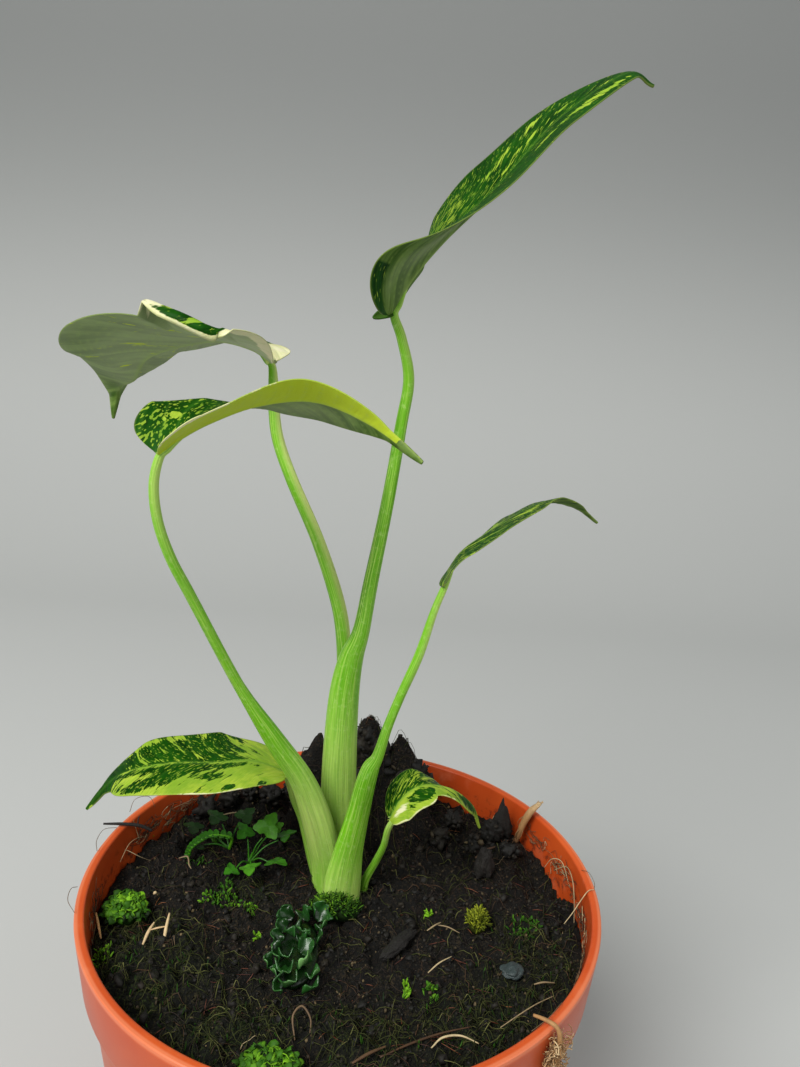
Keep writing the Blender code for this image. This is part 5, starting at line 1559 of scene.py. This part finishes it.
def make_liverwort(material):
    """A strip of glossy cupped lobes that overlap like tiles."""
    rng = np.random.default_rng(14)
    middle = pad("liverwort")
    heap = Heap()
    heap.put(dome(middle, (4.4, 9.6), 1.2, 2.0), 0.05)
    # x, y and height above the pad, bearing, length and width, tone
    lobes = (
        (-2.6, 9.6, 1.8, 2.2, 4.6, 4.4, 0.35), (2.4, 9.8, 2.2, 0.6, 4.8, 5.0, 0.8),
        (0.2, 8.6, 2.4, 1.3, 4.0, 4.2, 0.6), (-3.4, 6.6, 1.8, 2.8, 4.4, 4.0, 0.4),
        (3.6, 6.4, 2.0, 0.1, 4.2, 4.2, 0.55), (0.4, 5.6, 2.6, 4.6, 4.0, 4.6, 0.5),
        (-1.6, 3.6, 2.2, 3.4, 4.2, 4.0, 0.35), (2.8, 3.0, 1.8, 5.9, 3.6, 3.8, 0.45),
        (-4.2, 2.0, 1.6, 2.9, 4.0, 3.8, 0.5), (0.2, 1.4, 2.3, 0.9, 3.8, 4.0, 0.6),
        (-3.8, -1.0, 1.8, 3.3, 4.4, 4.2, 0.55), (0.6, -1.4, 2.2, 0.2, 4.2, 4.2, 0.7),
        (-2.0, -2.6, 2.3, 4.4, 3.8, 4.2, 0.5), (-5.0, -4.0, 1.5, 3.0, 4.0, 3.6, 0.65),
        (1.8, -4.4, 1.9, 5.6, 4.6, 4.8, 0.85), (-1.4, -5.6, 2.3, 4.0, 4.2, 4.0, 0.75),
        (2.6, -7.4, 1.6, 0.0, 4.0, 3.8, 0.6), (-2.6, -8.0, 1.8, 3.7, 4.2, 4.0, 0.6),
        (0.4, -9.2, 1.6, 4.9, 4.6, 4.6, 0.7), (3.2, -10.0, 1.2, 5.6, 3.6, 3.6, 0.5),
        (-2.0, -10.8, 1.2, 4.2, 3.6, 3.6, 0.55),
    )
    for x, y, z, bearing, length, width, tone in lobes:
        bearing += rng.normal(0, 0.45)
        heading = (math.cos(bearing), math.sin(bearing), rng.uniform(0.1, 0.8))
        tilt = rng.normal(0, 0.35, 2)
        shape = lobe(
            middle + (x, y, z - 0.8), heading, (*tilt, 1), length * rng.uniform(0.7, 0.95),
            width * rng.uniform(0.75, 1.1), cup=0.6, curl=rng.uniform(0.4, 1.1), thick=0.24,
            rows=LIVERWORT_POINTS, columns=LIVERWORT_POINTS, ruffle=0.7, turn=rng.uniform(0, 6),
        )
        # Painted light: each lobe is darkened towards its base and on its underside as painted shade, with a
        # painted highlight along its edges.
        along = np.repeat(np.linspace(0, 1, LIVERWORT_POINTS), LIVERWORT_POINTS)
        edge = np.tile(np.abs(np.linspace(-1, 1, LIVERWORT_POINTS)) ** 3, LIVERWORT_POINTS)
        shade = tone * (0.3 + 0.8 * along) + 0.15 * edge
        heap.put(shape, np.clip(np.concatenate([shade, 0.6 * shade]), 0, 1))
    heap.make("liverwort_lobes", material, ("liverwort",))


def lobed_leaf(foot, heading, normal_tilt, length, width):
    """A thin leaflet with a scalloped outline, slightly cupped, foot inside its stalk."""
    heading = unit(heading)
    across = unit(np.cross(heading, (0, 0, 1)))
    normal = unit(np.cross(across, heading) + normal_tilt * across)
    across = np.cross(heading, normal)
    count = 20 * SCALLOPS
    angle = full_turn(count)
    swing = SCALLOPS * (angle - np.pi)
    reach = 1 - SCALLOP_DEPTH + SCALLOP_DEPTH * np.cos(swing) + 0.06 * np.cos(3 * SCALLOPS * (angle - np.pi))
    rows = []
    for ring in range(LEAFLET_RINGS, 0, -1):
        share = ring / LEAFLET_RINGS
        size = 1 + (reach - 1) * share**2
        along = length * (0.5 - 0.5 * share * size * np.cos(angle))
        aside = 0.5 * width * share * size * np.sin(angle)
        lift = LEAFLET_CUP * width * (0.3 * (aside / width * 2) ** 2 - 0.25 * (along / length - 0.4) ** 2)
        lift = lift + 0.05 * width * share * np.cos(SCALLOPS * angle)
        rows.append(np.asarray(foot, float) + along[:, None] * heading + aside[:, None] * across
                    + lift[:, None] * normal)
    centre = np.asarray(foot, float) + 0.5 * length * heading
    top = np.vstack(rows + [centre[None]])
    total = len(top)
    half_thick = LEAFLET_THICKNESS / 2 * normal
    points = np.vstack([top + half_thick, top - half_thick])
    faces = []
    for ring in range(LEAFLET_RINGS - 1):
        low = ring * count
        for k in range(count):
            after = (k + 1) % count
            quad = (low + k, low + after, low + count + after, low + count + k)
            faces.append(quad)
            faces.append(tuple(total + v for v in reversed(quad)))
    last = (LEAFLET_RINGS - 1) * count
    for k in range(count):
        after = (k + 1) % count
        faces.append((last + k, last + after, total - 1))
        faces.append((total + last + after, total + last + k, 2 * total - 1))
        faces.append((k, total + k, total + after, after))
    return points, faces


def make_weed(material):
    """A seedling with lobed leaflets on thin stalks from one foot, bright green."""
    foot = pad("weed_seedling")
    crown = foot + (0, 0, 1)
    heap = Heap()
    heap.put(tube((foot - (0, 0, 1), foot + (0, 0, 1.5), foot + (0.6, 1.5, 3)), (0.5, 0.4, 0.3), 8, 10), 0.6)
    # Leaves: place from the foot, heading, length, width, tone
    tips = (
        ((3, 1.5, 7.5), (0.35, 0.6, 0.7), 7.2, 7.6, 0.7), ((7, 2.5, 6.5), (0.75, 0.5, 0.3), 5.5, 6, 0.55),
        ((-0.8, 2, 6.5), (-0.5, 0.6, 0.5), 5.5, 6, 0.5), ((5, -1.5, 3), (0.8, -0.3, 0.2), 6, 6.4, 0.6),
        ((1, -3, 3), (0.1, -0.9, 0.1), 5, 6, 0.7), ((-2.5, -3.5, 2), (-0.6, -0.7, 0.1), 4, 4.6, 0.5),
        ((5.5, 4.5, 8), (0.7, 0.6, 0.4), 3.4, 3.6, 0.8),
    )
    for k, (tip, heading, length, width, tone) in enumerate(tips):
        end = foot + tip
        middle = (crown + end) / 2 + (0, 0, 1.2)
        heap.put(tube((crown, middle, end), (0.24, 0.18, 0.15), 6, 10), 0.55)
        start = end - unit(heading) * 0.5
        heap.put(lobed_leaf(start, heading, 0.25 * (-1) ** k, length, width), tone)
    heap.make("weed_leaflets", material, ("weed_seedling",), SHARP_LEAFLET_ANGLE)


def make_fern(material):
    """A small frond that arches over, with short leaflets along both sides, and broad leaves above it."""
    foot = pad("fern_sporeling")
    path = (foot, foot + (0.5, -1, 3.8), foot + (-4, -2, 4.8), foot + (-7, -3, 3.6), foot + (-9, -4.5, 2.2),
            foot + (-9.2, -6.5, 1))
    heap = Heap()
    heap.put(tube(path, (0.42, 0.4, 0.38, 0.32, 0.26, 0.18), 8, 30), 0.85)
    spots = np.linspace(0.22, 0.97, 12)
    places = smooth(path, spots)
    for k, place in enumerate(places):
        for sign in (-1, 1):
            heading = (-0.35, 0.9 * sign, 0.1)
            length = 2.1 * (1 - 0.5 * abs(spots[k] - 0.5))
            heap.put(lobe(place, heading, (0, 0, 1), length, 1.5, turn=k, **FERN_LEAFLET), 0.55)
    # Leaves: place from the foot, heading, length, width, tone
    broad = (
        ((-3, 4.5, 4), (-0.6, 0.5, 0.25), 6.5, 6.4, 0.12), ((1.5, 4.5, 5), (0.5, 0.7, 0.3), 6, 6, 0.15),
        ((-8, 2.5, 2.6), (-0.8, 0.3, 0.2), 6, 6, 0.06),
        ((-6.5, -1.5, 1.6), (-0.7, -0.5, 0.1), 5, 5.4, 0.08),
    )
    for tip, heading, length, width, tone in broad:
        end = foot + tip
        heap.put(tube((foot, (foot + end) / 2 + (0, 0, 0.8), end), (0.28, 0.22, 0.18), 6, 8), 0.3)
        start = end - unit(heading) * 0.4
        heap.put(lobed_leaf(start, heading, 0.15, length, width), tone)
    heap.make("fern_frond", material, ("fern_sporeling",), SHARP_LEAFLET_ANGLE)


def chunk(size, turn, seed, taper, middle, fine):
    """A broken piece with rough faces, standing on a small flat foot and narrowing upwards by its taper."""
    cosine, sine = math.cos(turn), math.sin(turn)
    round_points, faces = ball(5)
    points = []
    for point in round_points:
        rough = 1 + 0.28 * noise.noise(point * 1.7 + Vector((seed, 0, 0)))
        rough += fine * (noise.turbulence(point * 5 + Vector((seed, 3, 0)), 4, True) - 0.5)
        x = point.x * size[0] / 2 * rough
        y = point.y * size[1] / 2 * rough
        z = max(point.z, -0.6) * size[2] / 1.6 * rough + size[2] * 0.375
        z = max(z, -0.3)
        x *= 1 - taper * z / size[2]
        y *= 1 - taper * z / size[2]
        points.append((middle[0] + x * cosine - y * sine, middle[1] + x * sine + y * cosine, middle[2] + z))
    return np.array(points), faces


def make_chunks(bark, slate):
    """Loose bark, wood and slate."""
    # Node, piece, size, turn, seed, taper, roughness of the faces, finish, slot, tone
    pieces = (
        ("bark_strip", "log_bark", (12, 3, 1.8), 0.95, 1.0, 0, 0.22, bark, "bark", 0.12),
        ("wood_chunk", "brown_chunk", (5, 4, 8), 0.3, 2.0, 0.2, 0.22, bark, "bark", 0.2),
        ("wood_shard", "pointed_shard", (7.5, 4, 11), 0.2, 4.0, 0.8, 0.22, bark, "bark", 0.15),
        ("slate_chip", "slate_flake", (5.6, 4.2, 1.5), 0.4, 3.0, 0, 0.1, slate, "stone", 0.45),
    )
    for node, name, size, turn, seed, taper, fine, material, slot, tone in pieces:
        heap = Heap()
        heap.put(chunk(size, turn, seed, taper, pad(node), fine), tone)
        heap.make(name, material, (node,))


def make_dry_bits(fibre, bark):
    """The husk at the right wall, the rim twig, seeds and bits of stick."""
    husk = Heap()
    husk.put(tube(HUSK, (0.7, 0.8, 0.9, 0.95, 0.5), 14, 40), np.repeat(np.linspace(0.05, 0.85, 40), 14))
    rng = np.random.default_rng(3)
    for _ in range(HUSK_STRANDS):
        shift = np.stack([rng.normal(0, 0.5, 5), rng.normal(0, 0.5, 5), rng.normal(0, 0.3, 5)], -1)
        husk.put(tube(np.array(HUSK) + shift, rng.uniform(0.08, 0.16), 4, 16),
                 np.repeat(np.linspace(0.1, rng.uniform(0.6, 1), 16), 4))
    husk.make("husk_scale", fibre, ("husk",))
    twig = Heap()
    twig.put(tube(RIM_TWIG, (0.38, 0.45, 0.42, 0.26), 8, 30), 0.15)
    twig.put(tube(((-53.6, 12.3, 0.5), (-54, 14, 1.2), (-54.2, 15.6, 0.9)), (0.2, 0.14), 5, 8), 0.3)
    twig.make("twig_on_rim", bark, ("rim_twig",))
    bits = Heap()
    # Path, radius, tone
    sticks = (
        (((39.4, 35.4, -6.4), (39.7, 34.6, -4.4), (40.2, 33.8, -3)), 0.55, 0.85),
        (((36, 31, -6.6), (37, 30, -5.6), (37.6, 29.2, -5.2)), 0.6, 0.8),
        (((53.4, 23, -3.4), (54.6, 23.6, -3), (55.6, 24, -2.4)), 0.4, 0.9),
        (((-54.1, -14.1, -4.4), (-52.6, -16.6, -5.6), (-51.1, -19.2, -6.6)), 0.5, 0.55),
        (((-41.6, -20.4, -6.4), (-41.2, -18, -5.2), (-40.6, -15.6, -4.6)), 0.6, 0.85),
        (((-37.4, -19.4, -6.4), (-37.6, -17, -4.8), (-37.9, -13.4, -3.8)), 0.6, 0.9),
        (((-41, -17.6, -5), (-39.2, -17.2, -4.6), (-37.6, -16.6, -4.6)), 0.34, 0.8),
        (((7, 39, -0.5), (7.6, 38.6, 0.2), (8.2, 38.4, 0.4)), 0.6, 0.6),
        (((7.3, 36.3, -1.5), (7.8, 35.8, -1), (8.4, 35.6, -0.8)), 0.5, 0.6),
    )
    for path, radius, tone in sticks:
        bits.put(tube(path, (radius * 0.35, radius * 0.6, radius * 0.55, radius * 0.3), 8, 14), tone)
    seed = ((-44.9, -2.7, -7.6), (-44.5, -2.7, -7.1), (-44.1, -2.6, -7.2))
    bits.put(tube(seed, (0.15, 0.4, 0.15), 8, 8), 1.0)
    bits.make("dry_bits", fibre)


def make_coir(fibre):
    """A tuft of coir caught on the rim: a thread over the rim and curled hairs hanging outside the wall."""
    middle = math.radians(COIR_BEARING)

    def place(radius, aside, z):
        return (radius * math.cos(middle) - aside * math.sin(middle),
                radius * math.sin(middle) + aside * math.cos(middle), z)

    heap = Heap()
    over = (place(56, -0.5, 0.6), place(58.5, 0, 1.0), place(60.7, 0.4, 0.7), place(61.4, 0.8, -1.5),
            place(61.2, 1.2, -6), place(61, 1, -12))
    heap.put(tube(over, (0.3, 0.4, 0.45, 0.5, 0.55, 0.4), 8, 40), 0.5)
    rng = np.random.default_rng(5)
    for _ in range(COIR_HAIRS):
        start = rng.uniform(-10.5, -1.5)
        aside = rng.normal(0.8, 1.0)
        radius = RIM_RADIUS + 0.6 + 0.1 * start + rng.uniform(0.3, 1.6)
        path = [np.array(place(radius, aside, start))]
        heading = rng.normal(0, 1, 3) + (0, 0, -0.6)
        for _ in range(4):
            heading = unit(heading + rng.normal(0, 0.6, 3))
            path.append(path[-1] + heading * rng.uniform(0.5, 1.1))
        path = np.array(path)
        reach = np.hypot(path[:, 0], path[:, 1])
        wall = RIM_RADIUS + 0.3 + COLLAR_SLOPE * np.minimum(path[:, 2], 0)
        scale = np.clip(reach, wall, wall + 3) / reach
        path[:, :2] *= scale[:, None]
        path[:, 2] = np.clip(path[:, 2], -14, -0.8)
        heap.put(tube(path, rng.uniform(0.07, 0.14), 3, 9), float(rng.uniform(0.2, 1)))
    heap.make("coir_hairs", fibre, ("coir_tuft",))


def make_rim_hairs(material):
    """Fine hairs and root ends caught on the rim and the inner wall."""
    heap = Heap()
    hairs = (
        ((-58.5, 11, 0.3), (-60.5, 8, 1.6), (-60.8, 4, 1.2), (-59.6, 1, 0.4)),
        ((-52, 21.5, 0), (-54, 22.5, 2.4), (-57, 20.5, 2.6), (-57.6, 18, 0.4)),
        ((-56.2, -20.4, 0.4), (-58.6, -18, 1.4), (-59.6, -14, 1.2), (-59, -12, 0.3)),
        ((59.4, -1.3, 0.5), (59.7, 0.4, 1.2), (59, 3.5, 1.6), (57.9, 6, 0.4)),
        ((38.4, -43.4, 0.3), (41.9, -40.7, 0.9), (44.5, -37.5, 0.8), (45.6, -35.8, 0.2)),
    )
    for path in hairs:
        heap.put(tube(path, 0.07, 4, 20), 0.6)
    heap.make("rim_hairs", material)


def make_camera():
    """The camera stands in front of the plant and looks down a little."""
    pitch, roll = math.radians(CAMERA_PITCH), math.radians(CAMERA_ROLL)
    forward = Vector((0, math.cos(pitch), -math.sin(pitch)))
    raised = Vector((0, math.sin(pitch), math.cos(pitch)))
    right = Vector((1, 0, 0))
    across = math.cos(roll) * right + math.sin(roll) * raised
    upward = -math.sin(roll) * right + math.cos(roll) * raised
    data = bpy.data.cameras.new("camera")
    data.sensor_fit = "AUTO"
    data.sensor_width = SENSOR_WIDTH
    data.lens = FOCAL_PIXELS * SENSOR_WIDTH / IMAGE_HEIGHT
    data.clip_start = 0.01
    camera = put_in_scene("camera", data)
    turn = Matrix((across, upward, -forward)).transposed()
    camera.matrix_world = Matrix.Translation(CAMERA_PLACE) @ turn.to_4x4()
    bpy.context.scene.camera = camera


def make_light(name, place, size, power, colour):
    data = bpy.data.lights.new(name, "AREA")
    data.shape = "DISK"
    data.size = size
    data.energy = power
    data.color = colour
    lamp = put_in_scene(name, data)
    lamp.location = place
    lamp.rotation_euler = (Vector(LIGHTS_AIM) - Vector(place)).to_track_quat("-Z", "Y").to_euler()
    lamp.visible_camera = False


def make_stage():
    """A pale floor that curves up into a wall, with painted shade that darkens the wall towards its top."""
    material, tree, shader = new_finish("stage_paper", screen(188, 190, 187), 0.9, 0.2)
    height = parts_of(tree, add(tree, "TexCoord").outputs["Object"])[2]
    # Painted shade: the wall darkens upwards as the light falls off.
    up = ramp(tree, height, 0.1, 0.62)
    feed(tree, shader["Base Color"], two_tones(tree, up, (192, 194, 192), (144, 146, 145)))
    profile = [(STAGE_FRONT, 0.0), (WALL_FOOT, 0.0)]
    for k in range(1, BEND_STEPS + 1):
        angle = math.pi / 2 * k / BEND_STEPS
        profile.append((WALL_FOOT + WALL_BEND * math.sin(angle), WALL_BEND - WALL_BEND * math.cos(angle)))
    profile.append((WALL_FOOT + WALL_BEND, WALL_TOP))
    points, faces = [], []
    for y, z in profile:
        points += [(-STAGE_HALF_WIDTH, y, z), (STAGE_HALF_WIDTH, y, z)]
    for k in range(len(profile) - 1):
        faces.append((2 * k, 2 * k + 1, 2 * k + 3, 2 * k + 2))
    mesh = bpy.data.meshes.new("stage")
    mesh.from_pydata(points, [], faces)
    mesh.materials.append(material)
    mesh.shade_smooth()
    stage = put_in_scene("stage", mesh)


def make_room_light():
    """Soft light from all sides, a large window at the left and a weaker fill at the right."""
    sky = bpy.data.worlds.new("soft_room")
    sky.use_nodes = True
    soft = sky.node_tree.nodes["Background"].inputs
    soft["Color"].default_value = SKY_COLOUR
    soft["Strength"].default_value = SKY_STRENGTH
    bpy.context.scene.world = sky
    for name, (place, size, power, colour) in LIGHTS.items():
        make_light(name, place, size, power, colour)
    bpy.context.scene.view_settings.view_transform = "Standard"


def main():
    make_camera()
    make_stage()
    make_room_light()
    plastic = make_pot_plastic()
    peat = make_peat()
    stem = make_stem_skin()
    leaf = make_leaf_skin()
    toned = {name: make_toned(name, *values) for name, values in TONED_FINISHES.items()}
    make_pot(plastic)
    make_soil(peat)
    make_clods(toned["peat_crumbs"])
    make_crumbs(toned["peat_crumbs"])
    make_fibres(toned["fine_roots"], toned["needle_brown"])
    make_fuzz(toned["olive_threads"])
    for seed, (name, parts) in enumerate(LEAVES.items()):
        make_petiole(name, parts, seed, stem)
        make_blade(name, parts, seed, leaf)
    frame["nodes"]["crown"].material_slots[0].material = stem
    for seed, (name, (radii, height, shoots, finish, needle)) in enumerate(MOSS_CUSHIONS.items(), 1):
        make_moss(name, radii, height, shoots, seed, toned[finish], needle)
    make_moss_tufts(toned["moss_green"])
    make_liverwort(toned["liverwort_green"])
    make_weed(toned["weed_green"])
    make_fern(toned["weed_green"])
    make_chunks(toned["bark_brown"], toned["slate_grey"])
    make_dry_bits(toned["dry_fibre"], toned["bark_brown"])
    make_coir(toned["dry_fibre"])
    make_rim_hairs(toned["fine_roots"])


main()
